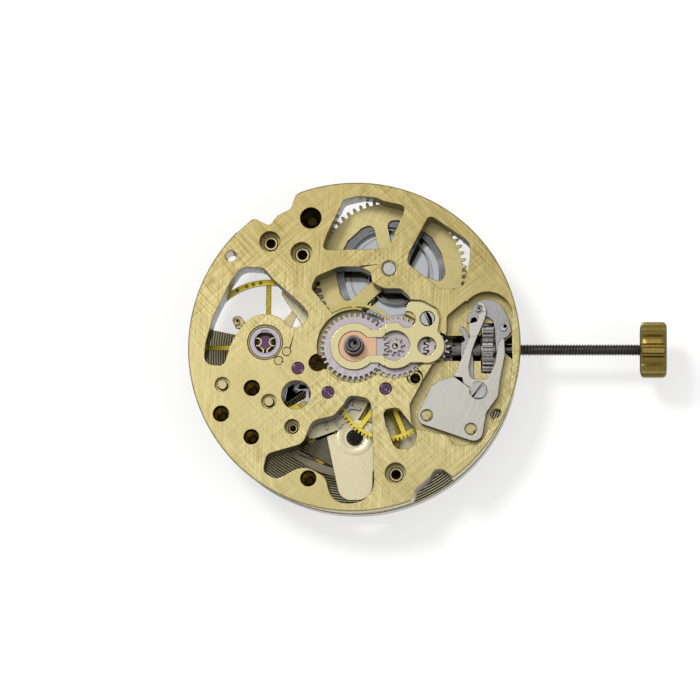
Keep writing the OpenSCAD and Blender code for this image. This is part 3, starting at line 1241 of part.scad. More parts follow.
module reverser_pinion() {
    color(steel) {
        pinion(reverser_at, reverser_leaves, pinion_m, mesh_phase(barrel_at, reverser_at,
            ratchet_teeth, reverser_leaves, ratchet_phase), ratchet_z, ratchet_z + ratchet_t);
        disc(reverser_at, 0.2, auto_gear_z, ratchet_z + ratchet_t);
    }
}

mainplate();
motion_bridge();
dial_screws();
hour_washer();
hour_wheel();
cannon_pinion();
minute_wheel();
setting_wheel();
setting_bridge();
yoke();
yoke_spring();
setting_lever();
stem();
crown();
winding_pinion();
sliding_pinion();
barrel_drum();
barrel_cover();
mainspring();
barrel_arbor();
ratchet_wheel();
crown_wheel();
click();
click_spring();
centre_wheel();
centre_arbor();
third_wheel();
third_arbor();
fourth_wheel();
fourth_arbor();
escape_wheel();
escape_arbor();
pallet_fork();
pallet_stones();
balance_wheel();
balance_staff();
roller();
hairspring();
balance_cock();
regulator();
stud_holder();
shock_settings();
shock_springs();
shock_jewels();
plate_jewels();
bridge_jewels();
fourth_bridge();
pallet_bridge();
train_bridge();
barrel_bridge();
bridge_screws();
steady_pins();
automatic_bridge();
bearing_race();
rotor();
rotor_weight();
reverser_wheel();
reverser_pinion();
wheel_guard();
seconds_spring();
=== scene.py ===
import json
import math

import bmesh
import bpy
import mathutils
import numpy as np
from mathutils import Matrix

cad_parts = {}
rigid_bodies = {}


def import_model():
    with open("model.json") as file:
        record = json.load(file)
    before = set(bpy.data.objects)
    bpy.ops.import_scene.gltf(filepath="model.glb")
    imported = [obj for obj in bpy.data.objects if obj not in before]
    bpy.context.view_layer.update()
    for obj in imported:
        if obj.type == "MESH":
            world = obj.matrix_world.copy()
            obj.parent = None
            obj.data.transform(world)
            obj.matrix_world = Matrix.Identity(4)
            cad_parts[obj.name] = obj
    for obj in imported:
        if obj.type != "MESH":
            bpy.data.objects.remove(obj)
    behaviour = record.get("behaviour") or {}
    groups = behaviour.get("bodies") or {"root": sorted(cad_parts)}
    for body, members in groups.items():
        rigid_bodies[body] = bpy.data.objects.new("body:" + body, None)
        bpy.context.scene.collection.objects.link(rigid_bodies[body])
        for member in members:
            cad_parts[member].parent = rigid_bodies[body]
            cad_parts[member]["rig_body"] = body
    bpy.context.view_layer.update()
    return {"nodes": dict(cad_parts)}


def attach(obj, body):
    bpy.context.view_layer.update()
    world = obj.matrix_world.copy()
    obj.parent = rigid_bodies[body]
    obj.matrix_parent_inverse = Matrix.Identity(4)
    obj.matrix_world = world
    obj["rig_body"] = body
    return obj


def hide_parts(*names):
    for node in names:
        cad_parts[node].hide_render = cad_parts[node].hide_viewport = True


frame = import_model()

# Main plate: a disc of pale brass, turned, milled with recesses and windows, then lapped by hand
# on its dial face, so that fine straight strokes cross it in three directions. The milled walls
# are painted dark, as painted shade, the turned rim a lighter brown, and each sharp edge is broken
# by hand. Its recesses are painted darker the deeper they lie, and its face darker from six
# o'clock towards twelve: both are painted shade.
MM = 0.001
PLATE_BEVEL = 0.05
RIM_RADIUS = 12.4
BRASS = "#E0D39B"
BRASS_SHADE = "#9F8C50"
# The colour of the milled walls and recesses, a painted shade.
BRASS_SHADED_WALL = "#291F0B"
BRASS_RIM = "#8E7E4A"


def linear(colour):
    """The sRGB hex colour as linear red, green, blue and alpha."""
    values = np.array([int(colour[i:i + 2], 16) / 255 for i in (1, 3, 5)])
    low = values / 12.92
    high = ((values + 0.055) / 1.055) ** 2.4
    return (*np.where(values <= 0.04045, low, high).tolist(), 1.0)


def add(tree, kind, inputs=None, **settings):
    """One shader node with its settings, and each input as a value or as the socket that feeds
    it."""
    made = tree.nodes.new("ShaderNode" + kind)
    for name, value in settings.items():
        setattr(made, name, value)
    for name, value in (inputs or {}).items():
        if isinstance(value, bpy.types.NodeSocket):
            tree.links.new(value, made.inputs[name])
        else:
            made.inputs[name].default_value = value
    return made


def metal(name, colour, shade, wall, strokes, length, spacing, rough, depth, spread=0.15,
          contrast=1.6, steep=0.45, deep=None, scratches=0.0, fall=0.0, rim=None):
    """A metal with fine straight strokes, drawn as coarse as they need to show. Noise is stretched
    to the stroke's length and spacing in mm, once for each angle in strokes, and patches of 6 to
    10 mm share the surface among the angles. The sum, times contrast, moves the colour between
    shade and colour, over clouds of 6 mm. It also moves the roughness about rough by spread, and
    lifts the surface by depth mm. Faces whose normal stands upright by less than steep take the
    wall colour, a painted shade: it darkens walls and, where steep is high, bevels, as the shade on
    walls and in gaps. With deep, two heights in mm and a share, only that share of the colour is
    left at the first height, and all of it at the second; the rest goes to the wall colour, a
    painted shade by height. Scratches is the strength of a few long dark lines, and fall is the
    share by which the tone drops from six o'clock to twelve, a painted fall of light. With rim, a
    radius in mm and a colour, upright faces beyond that radius take that colour."""
    first_patches, more_patches, clouds = 95.0, 35, 160.0  # in a metre
    scratch_length, scratch_spacing, scratch_turn = 5, 0.09, 9
    fall_from, fall_to = -2, 8
    made = bpy.data.materials.new(name)
    made.use_nodes = True
    tree = made.node_tree
    shader = tree.nodes["Principled BSDF"]
    place = add(tree, "TexCoord").outputs["Object"]
    total = None
    for number, angle in enumerate(strokes):
        along = add(tree, "Mapping", {"Vector": place, "Rotation": (0, 0, math.radians(angle)),
            "Scale": (length * MM, spacing * MM, 0.5 * MM)}, vector_type="TEXTURE").outputs[0]
        grain = add(tree, "TexNoise", {"Vector": along, "Scale": 1.0, "Detail": 3.0,
            "Roughness": 0.6}).outputs["Fac"]
        patch = add(tree, "TexNoise", {"Vector": place,
            "Scale": first_patches + more_patches * number, "Detail": 1.0}).outputs["Fac"]
        share = add(tree, "MapRange", {"Value": patch, "From Min": 0.4, "From Max": 0.6,
            "To Min": 0.2, "To Max": 1.0}).outputs[0]
        centred = add(tree, "Math", {0: grain, 1: -0.5}, operation="ADD").outputs[0]
        part = add(tree, "Math", {0: centred, 1: share}, operation="MULTIPLY").outputs[0]
        total = part if total is None else add(tree, "Math", {0: total, 1: part},
            operation="ADD").outputs[0]
    cloud = add(tree, "TexNoise", {"Vector": place, "Scale": clouds, "Detail": 2.0}).outputs["Fac"]
    cloud = add(tree, "Math", {0: cloud, 1: 0.5, 2: 0.38}, operation="MULTIPLY_ADD").outputs[0]
    if fall:
        across = add(tree, "SeparateXYZ", {0: place}).outputs[1]
        drop = add(tree, "MapRange", {"Value": across, "From Min": fall_from * MM,
            "From Max": fall_to * MM, "To Max": -fall}, interpolation_type="SMOOTHSTEP").outputs[0]
        cloud = add(tree, "Math", {0: cloud, 1: drop}, operation="ADD").outputs[0]
    tone = add(tree, "Math", {0: total, 1: contrast, 2: cloud}, operation="MULTIPLY_ADD",
        use_clamp=True).outputs[0]
    face = add(tree, "Mix", {"Factor": tone, "A": linear(shade), "B": linear(colour)},
        data_type="RGBA").outputs[2]
    if scratches:
        along = add(tree, "Mapping", {"Vector": place,
            "Rotation": (0, 0, math.radians(strokes[0] + scratch_turn)),
            "Scale": (scratch_length * MM, scratch_spacing * MM, MM)},
            vector_type="TEXTURE").outputs[0]
        line = add(tree, "TexNoise", {"Vector": along, "Scale": 1.0, "Detail": 1.0}).outputs["Fac"]
        line = add(tree, "MapRange", {"Value": line, "From Min": 0.7, "From Max": 0.78,
            "To Max": scratches}).outputs[0]
        face = add(tree, "Mix", {"Factor": line, "A": face, "B": linear(wall)},
            data_type="RGBA").outputs[2]
    if deep:
        height = add(tree, "SeparateXYZ", {0: place}).outputs[2]
        shaded = add(tree, "MapRange", {"Value": height, "From Min": deep[0] * MM,
            "From Max": deep[1] * MM, "To Min": 1 - deep[2], "To Max": 0.0}).outputs[0]
        face = add(tree, "Mix", {"Factor": shaded, "A": face, "B": linear(wall)},
            data_type="RGBA").outputs[2]
    upright = add(tree, "SeparateXYZ", {0: add(tree, "NewGeometry").outputs["Normal"]}).outputs[2]
    upright = add(tree, "Math", {0: upright}, operation="ABSOLUTE").outputs[0]
    flat = add(tree, "MapRange", {"Value": upright, "From Min": steep - 0.15,
        "From Max": steep + 0.05}).outputs[0]
    base = add(tree, "Mix", {"Factor": flat, "A": linear(wall), "B": face}, data_type="RGBA")
    if rim:
        level = add(tree, "VectorMath", {0: place, 1: (1, 1, 0)}, operation="MULTIPLY").outputs[0]
        reach = add(tree, "VectorMath", {0: level}, operation="LENGTH").outputs["Value"]
        outer = add(tree, "MapRange", {"Value": reach, "From Min": (rim[0] - 0.1) * MM,
            "From Max": rim[0] * MM}).outputs[0]
        side = add(tree, "Mix", {"Factor": outer, "A": linear(wall), "B": linear(rim[1])},
            data_type="RGBA")
        tree.links.new(side.outputs[2], base.inputs["A"])
    tree.links.new(base.outputs[2], shader.inputs["Base Color"])
    shader.inputs["Metallic"].default_value = 1.0
    gloss = add(tree, "MapRange", {"Value": total, "From Min": -0.3, "From Max": 0.3,
        "To Min": rough - spread / 2, "To Max": rough + spread / 2}).outputs[0]
    tree.links.new(gloss, shader.inputs["Roughness"])
    lift = add(tree, "Bump", {"Height": total, "Strength": 1.0, "Distance": depth * MM})
    tree.links.new(lift.outputs[0], shader.inputs["Normal"])
    return made


def broken_edges(node, width, finish, segments=2):
    """A copy of a CAD solid, doubles merged, on the body of that solid. Where a flat top or bottom
    meets an upright wall that falls away from it, the edge is bevelled by width mm: such an edge
    has one face whose normal is within 8 degrees of the axis and one within 12 degrees of level,
    and the wall's centre lies on the inner side of the flat. Triangles are joined in pairs only,
    because faces with many sides would close over parts of the windows."""
    flat_normal, wall_normal, same_plane, sharp = 0.99, 0.2, 0.5, 32
    work = bmesh.new()
    work.from_mesh(frame["nodes"][node].data)
    bmesh.ops.remove_doubles(work, verts=work.verts, dist=2e-6)
    bmesh.ops.join_triangles(work, faces=work.faces,
        angle_face_threshold=math.radians(same_plane), angle_shape_threshold=math.radians(120))
    mesh = bpy.data.meshes.new(node + "_edged")
    work.to_mesh(mesh)
    work.free()
    if "custom_normal" in mesh.attributes:
        mesh.attributes.remove(mesh.attributes["custom_normal"])
    mesh.polygons.foreach_set("use_smooth", np.ones(len(mesh.polygons), bool))
    mesh.set_sharp_from_angle(angle=math.radians(sharp))
    mesh.materials.clear()
    mesh.materials.append(finish)
    mesh.polygons.foreach_set("material_index", np.zeros(len(mesh.polygons), np.int32))

    edge_of_corner = np.empty(len(mesh.loops), np.int32)
    mesh.loops.foreach_get("edge_index", edge_of_corner)
    corners = np.empty(len(mesh.polygons), np.int32)
    mesh.polygons.foreach_get("loop_total", corners)
    normal = np.empty(3 * len(mesh.polygons))
    mesh.polygons.foreach_get("normal", normal)
    centre = np.empty(3 * len(mesh.polygons))
    mesh.polygons.foreach_get("center", centre)
    ends = np.empty(2 * len(mesh.edges), np.int32)
    mesh.edges.foreach_get("vertices", ends)
    place = np.empty(3 * len(mesh.vertices))
    mesh.vertices.foreach_get("co", place)
    up = np.repeat(normal[2::3], corners)
    height = np.repeat(centre[2::3], corners)
    edge_height = place[2::3][ends].reshape(-1, 2).mean(1)
    wall = (np.abs(up) < wall_normal).astype(float)
    flat = (np.abs(up) > flat_normal).astype(float)
    walls, flats, facing, wall_height = [
        np.bincount(edge_of_corner, weights=share, minlength=len(mesh.edges))
        for share in (wall, flat, flat * np.sign(up), wall * height)]
    chosen = (walls == 1) & (flats == 1) & (facing * (wall_height - edge_height) < -1e-6)
    weight = mesh.attributes.new("bevel_weight_edge", "FLOAT", "EDGE")
    weight.data.foreach_set("value", chosen.astype(np.float32))

    piece = bpy.data.objects.new(node + "_edged", mesh)
    bpy.context.scene.collection.objects.link(piece)
    bevel = piece.modifiers.new("broken edges", "BEVEL")
    bevel.width = width * MM
    bevel.segments = segments
    bevel.limit_method = "WEIGHT"
    bevel.use_clamp_overlap = False
    bevel.harden_normals = True
    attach(piece, frame["nodes"][node]["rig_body"])
    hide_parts(node)


lapped_brass = metal("lapped brass", BRASS, BRASS_SHADE, BRASS_SHADED_WALL, strokes=(-48, 40, 88),
    length=3.2, spacing=0.12, rough=0.34, depth=0.004, contrast=1.5, deep=(-1.5, -0.5, 0.4),
    scratches=0.25, fall=0.3, rim=(RIM_RADIUS, BRASS_RIM))
broken_edges("mainplate", PLATE_BEVEL, lapped_brass)

# Pins and posts: turned from brass rod, faced off bright and pressed into the plate. Their broken
# edges are painted dark, a painted shadow that rings each one like a thin gap. Two of them are
# the posts that place the setting bridge.
turned_brass = metal("turned brass", "#D2C394", "#B09E6A", "#2E2410", strokes=(20, 75), length=1.2,
    spacing=0.07, rough=0.3, depth=0.001, steep=0.9)
broken_edges("steady_pins", 0.035, turned_brass, segments=1)

# Ends of the holes: each screw tube and pin from the back ends in a bored cup, painted dark as the
# shade deep in the hole: a brown cone round a near black middle. Four tubes stand up in it as a
# ring of clean brass, with the same painted shade at their bottoms.
# The rows give the place x and y, the radius and the height of the cup's floor, in mm.
HOLE_ENDS = [(-3.49, 10.17, 0.81, -1.03), (-7.94, -3.31, 0.6, -1.03), (-10.33, -5.34, 0.6, -0.93),
    (-7.93, -7.16, 0.57, -0.93), (-3.44, -10.42, 0.6, -1.03), (-2.83, -1.3, 0.66, -0.63),
    (4.77, -2.43, 0.36, -0.74)]
TUBES = [(-6.68, 8.31, 0.53, -1.2), (-4.19, 7.41, 0.56, -1.2), (-4.76, -6.35, 0.36, -1.2),
    (3.33, -9.98, 0.54, -1.2)]
TUBE_BORE = 0.6
TUBE_TOP = -0.58
# Painted shade for the holes: near black flats and brown slopes.
hole_shade_brass = metal("brass in painted hole shade", "#3A3018", "#181006", "#8C7C50", strokes=(0,), length=0.5,
    spacing=0.08, rough=0.26, depth=0.001, steep=0.9)


def skin(name, points, closed_u, closed_v, finish, node, sharp=35, caps=False):
    """A surface on a grid of points, an array of rows (u) by columns (v) by three, in mm. Quads
    join neighbours, round again where u or v is closed, and with caps the first and last row are
    filled. Edges bent by more than sharp degrees stay crisp. It takes the place of a CAD node, on
    that node's body."""
    rows, columns = points.shape[:2]
    index = np.arange(rows * columns).reshape(rows, columns)
    if closed_u:
        index = np.vstack([index, index[:1]])
    if closed_v:
        index = np.hstack([index, index[:, :1]])
    quads = np.stack([index[:-1, :-1], index[1:, :-1], index[1:, 1:], index[:-1, 1:]], -1)
    faces = quads.reshape(-1, 4).tolist()
    if caps:
        faces += [index[0, :columns].tolist(), index[-1, :columns][::-1].tolist()]
    mesh = bpy.data.meshes.new(name)
    mesh.from_pydata((points.reshape(-1, 3) * MM).tolist(), [], faces)
    work = bmesh.new()
    work.from_mesh(mesh)
    bmesh.ops.remove_doubles(work, verts=work.verts, dist=1e-7)
    bmesh.ops.recalc_face_normals(work, faces=work.faces)
    work.to_mesh(mesh)
    work.free()
    mesh.polygons.foreach_set("use_smooth", np.ones(len(mesh.polygons), bool))
    mesh.set_sharp_from_angle(angle=math.radians(sharp))
    mesh.materials.append(finish)
    piece = bpy.data.objects.new(name, mesh)
    bpy.context.scene.collection.objects.link(piece)
    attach(piece, frame["nodes"][node]["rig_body"])
    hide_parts(node)


def turned(name, at, profile, finish, node, steps=48):
    """A turned piece: the closed profile's points (radius, height) in mm, carried once round the
    upright axis at (x, y): x + r cos a, y + r sin a, and the height as it is. A profile that
    starts and ends near the axis makes a solid piece, any other one a ring."""
    profile = np.array(profile, float)
    angle = np.linspace(0, 2 * np.pi, steps, endpoint=False)[:, None]
    points = np.stack([at[0] + profile[:, 0] * np.cos(angle), at[1] + profile[:, 0] * np.sin(angle),
        np.broadcast_to(profile[:, 1], (steps, len(profile)))], -1)
    skin(name, points, True, True, finish, node)


for number, (x, y, radius, floor) in enumerate(HOLE_ENDS):
    turned(f"hole_end_{number}", (x, y), [(0.0001, floor), (radius, floor), (radius, floor + 0.42),
        (0.8 * radius, floor + 0.25), (0.45 * radius, floor + 0.08),
        (0.42 * radius, floor + 0.02), (0.0001, floor + 0.02)], hole_shade_brass, "steady_pins")
for number, (x, y, radius, floor) in enumerate(TUBES):
    turned(f"tube_{number}", (x, y), [(TUBE_BORE * radius, floor), (radius, floor),
        (radius, TUBE_TOP - 0.04), (radius - 0.03, TUBE_TOP), (0.72 * radius, TUBE_TOP),
        (TUBE_BORE * radius, TUBE_TOP - 0.08)], turned_brass, "steady_pins")
    turned(f"tube_end_{number}", (x, y), [(0.0001, floor), (0.58 * radius, floor),
        (0.58 * radius, floor + 0.3), (0.2 * radius, floor + 0.1), (0.0001, floor + 0.08)],
        hole_shade_brass, "steady_pins")

# Bridges: rolled pale brass, milled, smoother than the plate, with bevelled edges. They hold the
# back pivots of the train, the barrel and the pallets, each on two pins and its screws. The
# seconds bridge has a low turned boss round the hole of the fourth pinion.
BRIDGE_BEVEL = 0.04
SECONDS_HOLE = (0, -6.9)
# Their milled walls take a dark brown, a painted shade.
rolled_brass = metal("rolled brass", "#E9E0BE", "#CCBF95", "#3A2F18", strokes=(-60, 75),
    length=3.0, spacing=0.1, rough=0.3, depth=0.0015, contrast=1.0)
for bridge in ("fourth_bridge", "pallet_bridge", "train_bridge", "barrel_bridge", "balance_cock",
               "automatic_bridge"):
    broken_edges(bridge, BRIDGE_BEVEL, rolled_brass)
turned("seconds_boss", SECONDS_HOLE, [(0.84, -1.765), (1.42, -1.765), (1.42, -1.745),
    (1.36, -1.735), (0.9, -1.735), (0.84, -1.75)], rolled_brass, "fourth_bridge", steps=96)

# Motion work bridge: pale brass, milled in steps and polished, with openings over the hour wheel
# and the small pinions. One screw holds it to the plate. It shines paler than the plate.
# Its walls and broken edges take a dark brown, a painted shadow that outlines it.
polished_brass = metal("polished brass", "#EADFAC", "#D6C992", "#40330F", strokes=(80,),
    length=4.0, spacing=0.12, rough=0.22, depth=0.0006, spread=0.08, contrast=1.0, steep=0.85)
broken_edges("motion_bridge", 0.05, polished_brass, segments=3)

# Screws: turned from steel rod, slotted and hardened, with a flat ground head whose rim is
# broken. The slot's walls and the broken rim are painted dark, a painted shade that sets each
# bright head off from the brass.
SCREW_BEVEL = 0.045
ground_steel = metal("ground steel", "#C2C1BF", "#A2A09E", "#2C2A28", strokes=(30, 62), length=1.0,
    spacing=0.07, rough=0.3, depth=0.001, contrast=1.0, steep=0.9)
broken_edges("dial_screws", SCREW_BEVEL, ground_steel, segments=1)
broken_edges("bridge_screws", SCREW_BEVEL, ground_steel, segments=1)

# Hour washer: a thin dished spring of copper alloy, stamped from sheet, which lies loose between
# the hour wheel and the dial. It shows as a warm pink ring.
copper = metal("copper alloy", "#E0B896", "#CFA27C", "#5A3620", strokes=(10, 80), length=1.5,
    spacing=0.08, rough=0.3, depth=0.0008)


def dress(finish, *nodes):
    """These CAD solids keep their shape and take the finish in every slot."""
    for node in nodes:
        mesh = frame["nodes"][node].data
        for index in range(len(mesh.materials)):
            mesh.materials[index] = finish


dress(copper, "hour_washer")

# Motion wheels: nickelled steel stampings with cut teeth, a warm lilac grey, satin. The walls and
# bevels of their teeth are painted dark, a painted shade that outlines the gaps. The pipe of the
# hour wheel, which stands up into the dial, is darker from 0.3 mm up.
WHEEL_BEVEL = 0.03
NICKEL = "#C6BDBD"
NICKEL_SHADE = "#A0979A"
nickelled_steel = metal("nickelled steel", NICKEL, NICKEL_SHADE, "#2E2A2A", strokes=(0, 47, 90),
    length=0.6, spacing=0.07, rough=0.32, depth=0.001, steep=0.9)
broken_edges("minute_wheel", WHEEL_BEVEL, nickelled_steel, segments=1)
broken_edges("setting_wheel", WHEEL_BEVEL, nickelled_steel, segments=1)
pipe_steel = metal("nickelled steel with dark pipe", NICKEL, NICKEL_SHADE, "#1E1B1B",
    strokes=(0, 47, 90), length=0.6, spacing=0.07, rough=0.32, depth=0.001, steep=0.9,
    deep=(0.7, 0.3, 0.7))
broken_edges("hour_wheel", WHEEL_BEVEL, pipe_steel, segments=1)

# Cannon pinion: a hardened steel pipe, turned and polished nearly black, which sits by friction
# on the centre arbor and carries the minute hand. Its broken edges, and those of the centre arbor,
# are painted dark as shade.
black_steel = metal("polished black steel", "#8E8988", "#5E5958", "#171414", strokes=(0,),
    length=0.6, spacing=0.08, rough=0.2, depth=0.0004, steep=0.9)
broken_edges("cannon_pinion", 0.05, black_steel)

# Setting bridge, lever, yoke and its spring: stamped from steel sheet. The bridge is ground to an
# even satin grey and screwed down; the others are tumbled, a little darker, and turn under it.
satin_steel = metal("satin steel sheet", "#C9C6BC", "#B4B1A8", "#33312E", strokes=(64, 70),
    length=2.2, spacing=0.09, rough=0.36, depth=0.0008, contrast=0.8, steep=0.85)
lever_steel = metal("tumbled steel sheet", "#B2B1AF", "#939190", "#1E1C1A", strokes=(15, 80),
    length=0.8, spacing=0.09, rough=0.3, depth=0.001, contrast=1.0, steep=0.85)
broken_edges("setting_bridge", 0.04, satin_steel)
for lever in ("setting_lever", "yoke", "yoke_spring"):
    broken_edges(lever, 0.03, lever_steel)

# Winding and sliding pinion: cut from hardened steel and oiled, so that they look dark. The teeth
# of the winding pinion are worn bright.
oiled_steel = metal("oiled hardened steel", "#8A8684", "#4A4644", "#37332F", strokes=(0, 90),
    length=0.5, spacing=0.08, rough=0.24, depth=0.001, spread=0.2)
dress(oiled_steel, "sliding_pinion")
tooth_steel = metal("worn tooth steel", "#CFCBC8", "#7E7A78", "#A8A4A0", strokes=(0, 90),
    length=0.4, spacing=0.08, rough=0.3, depth=0.001, spread=0.2)
dress(tooth_steel, "winding_pinion")

# Stem: turned steel with a pilot, a square for the sliding pinion, a grooved bearing and a rolled
# thread, 0.90 mm by 0.225 mm, that runs out to the crown. It is drawn steel, a dull dark grey.
# Its profile's points are the distance from the movement's centre and the radius, in mm.
STEM_Z = -1.5
STEM_PROFILE = np.array([(7.0, 0.17), (7.02, 0.2), (7.6, 0.2), (7.601, 0.25), (10.1, 0.25),
    (10.101, 0.33), (11.0, 0.33), (11.001, 0.47), (11.03, 0.5), (11.17, 0.5), (11.2, 0.47),
    (11.201, 0.34), (11.5, 0.34), (11.501, 0.47), (11.53, 0.5), (12.62, 0.5), (12.7, 0.35),
    (23.3, 0.35)])
SQUARE_FROM, SQUARE_TO, SQUARE_HALF, SQUARE_CORNER = 7.6, 10.1, 0.25, 0.33
THREAD_FROM, THREAD_TO, THREAD_PITCH, THREAD_CORE, THREAD_DEPTH = 12.7, 22.31, 0.225, 0.35, 0.1
THREAD_STEP = 0.028
stem_steel = metal("drawn steel", "#7C7872", "#56524E", "#55514C", strokes=(0,), length=0.8,
    spacing=0.1, rough=0.3, depth=0.0006)
# The radius follows the profile; over the square it is half / max(|cos a|, |sin a|), held to the
# corner; over the thread it is the core plus a ridge that moves on by one pitch in each turn.
stations = np.concatenate([np.array([7.0, 7.02, 7.58, 7.6, 7.601, 10.08, 10.1, 10.101, 11.0,
    11.001, 11.03, 11.17, 11.2, 11.201, 11.5, 11.501, 11.53, 12.62, THREAD_FROM]),
    np.arange(THREAD_FROM + 0.02, 22.3, THREAD_STEP), np.array([22.35, 23.3])])
along, around = np.meshgrid(stations, np.linspace(0, 2 * np.pi, 49)[:-1], indexing="ij")
radius = np.interp(along, STEM_PROFILE[:, 0], STEM_PROFILE[:, 1])
square = SQUARE_HALF / np.maximum(np.abs(np.cos(around)), np.abs(np.sin(around)))
radius = np.where((along > SQUARE_FROM) & (along < SQUARE_TO), np.minimum(square, SQUARE_CORNER),
    radius)
turn = (along - THREAD_FROM) / THREAD_PITCH - around / (2 * np.pi)
crest = 1 - np.abs(2 * (turn - np.floor(turn)) - 1)
ridge = THREAD_CORE + THREAD_DEPTH * np.clip(1.5 * crest - 0.2, 0, 1)
radius = np.where((along > THREAD_FROM) & (along < THREAD_TO), ridge, radius)
stem_points = np.stack([along, radius * np.cos(around), STEM_Z + radius * np.sin(around)], -1)
skin("stem_threaded", stem_points, False, True, stem_steel, "stem", sharp=28, caps=True)

# Crown blank: brass, turned, fluted all round for the fingers and screwed on the stem. Its turned
# boss and rim stay smooth, and the flutes shine along their edges.
CROWN_X = 22.25
CROWN_RADIUS = 2.185
FLUTES = 18
FLUTE_DEPTH = 0.2
crown_brass = metal("turned crown brass", "#B09A52", "#7E6A32", "#6A5A2E", strokes=(0, 90),
    length=0.8, spacing=0.08, rough=0.34, depth=0.0015, spread=0.2)
# The rows are radius, distance from the crown's inner face, and the share of the flute's depth.
# The flute takes a clipped cosine of the angle off the radius.
crown_profile = np.array([(0.36, 0.35, 0), (0.36, 0.0, 0), (1.72, 0.0, 0), (1.9, 0.06, 0.05),
    (2.1, 0.13, 0.6), (CROWN_RADIUS, 0.3, 1), (CROWN_RADIUS, 0.6, 1), (CROWN_RADIUS, 1.1, 1),
    (CROWN_RADIUS, 1.6, 1), (CROWN_RADIUS, 1.82, 1), (2.1, 1.98, 0.6), (1.9, 2.08, 0.1),
    (1.5, 2.1, 0), (0.0001, 2.1, 0)])
angle = np.linspace(0, 2 * np.pi, FLUTES * 12, endpoint=False)[:, None]
flute = np.clip(-np.cos(FLUTES * angle) * 1.5 - 0.1, 0, 1)
radius = crown_profile[:, 0] - FLUTE_DEPTH * flute * crown_profile[:, 2]
crown_points = np.stack([np.broadcast_to(CROWN_X + crown_profile[:, 1], radius.shape),
    radius * np.cos(angle), STEM_Z + radius * np.sin(angle)], -1)
skin("crown_fluted", crown_points, True, False, crown_brass, "crown", sharp=40)

# Barrel: a toothed brass plate with three wide arms over its drum, cut from one piece and lapped
# like the main plate. Its cover, snapped in below, is a steel disc, polished to a mirror, with
# one turned line.
BARREL = (2.7, 6.15)
barrel_brass = metal("lapped barrel brass", "#D6CA92", "#9A884E", BRASS_SHADED_WALL, strokes=(-20, 60),
    length=4.0, spacing=0.12, rough=0.34, depth=0.0015, contrast=1.0, steep=0.8)
broken_edges("barrel_drum", 0.04, barrel_brass)
mirror_steel = metal("mirror steel", "#D4D6D8", "#BCBFC2", "#6A6C70", strokes=(0,), length=6.0,
    spacing=2.0, rough=0.1, depth=0.0001, spread=0.03)
turned("cover_polished", BARREL, [(0.62, -3.15), (4.8, -3.15), (4.8, -3.05), (3.27, -3.05),
    (3.24, -3.075), (3.18, -3.075), (3.15, -3.05), (0.62, -3.05)], mirror_steel, "barrel_cover",
    steps=128)

# Mainspring: a long strip of rolled spring steel, let down, so that most of its turns lie against
# the drum wall and one long turn leads in to the arbor, where it is hooked. Its upright faces, and
# those of the hairspring, are painted near black as the shade between the turns, so its edges
# show as fine dark lines.
spring_steel = metal("spring steel", "#A5A2A2", "#7C797A", "#1E1C1D", strokes=(0,), length=0.5,
    spacing=0.08, rough=0.24, depth=0.0004)


def coil(name, at, turns, radii, thick, low, high, phase, per_turn, finish, node):
    """A strip wound on edge. Its middle line has the radius read from (turns, radii) at each turn
    and starts at the angle phase, in degrees. Its section is thick by high minus low, in mm."""
    steps = int(turns[-1] * per_turn) + 1
    turn = np.linspace(0, turns[-1], steps)
    middle = np.interp(turn, turns, radii)
    angle = math.radians(phase) + 2 * np.pi * turn
    out = np.stack([np.cos(angle), np.sin(angle), np.zeros(steps)], -1)
    corners = [(middle + side * thick / 2)[:, None] * out + np.array([at[0], at[1], z])
        for side, z in ((-1, low), (1, low), (1, high), (-1, high))]
    skin(name, np.stack(corners, 1), False, True, finish, node, sharp=40, caps=True)


coil("mainspring_wound", BARREL, turns=[0, 0.15, 1.25, 8.25], radii=[0.98, 1.05, 3.72, 4.52],
    thick=0.072, low=-2.92, high=-2.0, phase=30, per_turn=96, finish=spring_steel,
    node="mainspring")

# Barrel arbor, ratchet wheel, crown wheel and click: steel, ground flat and screwed or squared on.
# The click and its spring are tumbled sheet like the levers.
broken_edges("barrel_arbor", 0.04, ground_steel)
for wheel in ("ratchet_wheel", "crown_wheel"):
    broken_edges(wheel, WHEEL_BEVEL, ground_steel)
for catch in ("click", "click_spring"):
    broken_edges(catch, 0.03, lever_steel)

# Going train: brass wheels with thin arms, riveted on cut and polished steel pinions. The third
# wheel is gilded a vivid yellow. The fourth is painted darker, as the shade it lies in, and the
# centre wheel is brushed olive brass, a little darker than the plate partly as painted shade of
# its recess. The fourth pinion is painted near black, as the shade in its hole.
gilt = metal("gilded brass", "#EFDC5E", "#CDB232", "#4A3A0C", strokes=(0, 60, 120), length=0.8,
    spacing=0.08, rough=0.28, depth=0.0008)
dress(gilt, "third_wheel")
shaded_gilt = metal("gilding in painted shade", "#A8923C", "#7E6A24", "#2E2408", strokes=(0, 60, 120),
    length=0.8, spacing=0.08, rough=0.32, depth=0.0008)
dress(shaded_gilt, "fourth_wheel")
pale_brass = metal("brushed pale brass", "#CFC17C", "#A8985A", "#33280F", strokes=(0, 60),
    length=0.8, spacing=0.08, rough=0.3, depth=0.001)
dress(pale_brass, "centre_wheel")
pinion_steel = metal("polished pinion steel", "#B4B2B4", "#8C8A8C", "#2A2829", strokes=(0,),
    length=0.5, spacing=0.05, rough=0.18, depth=0.0004)
dress(pinion_steel, "third_arbor", "escape_arbor")
dark_steel = metal("steel in painted shade", "#2E2A28", "#1A1716", "#0E0C0B", strokes=(0,), length=0.5,
    spacing=0.05, rough=0.25, depth=0.0004)
dress(dark_steel, "fourth_arbor")
# Its broken edges are painted dark, as shade round the centre.
broken_edges("centre_arbor", 0.06, black_steel, segments=1)

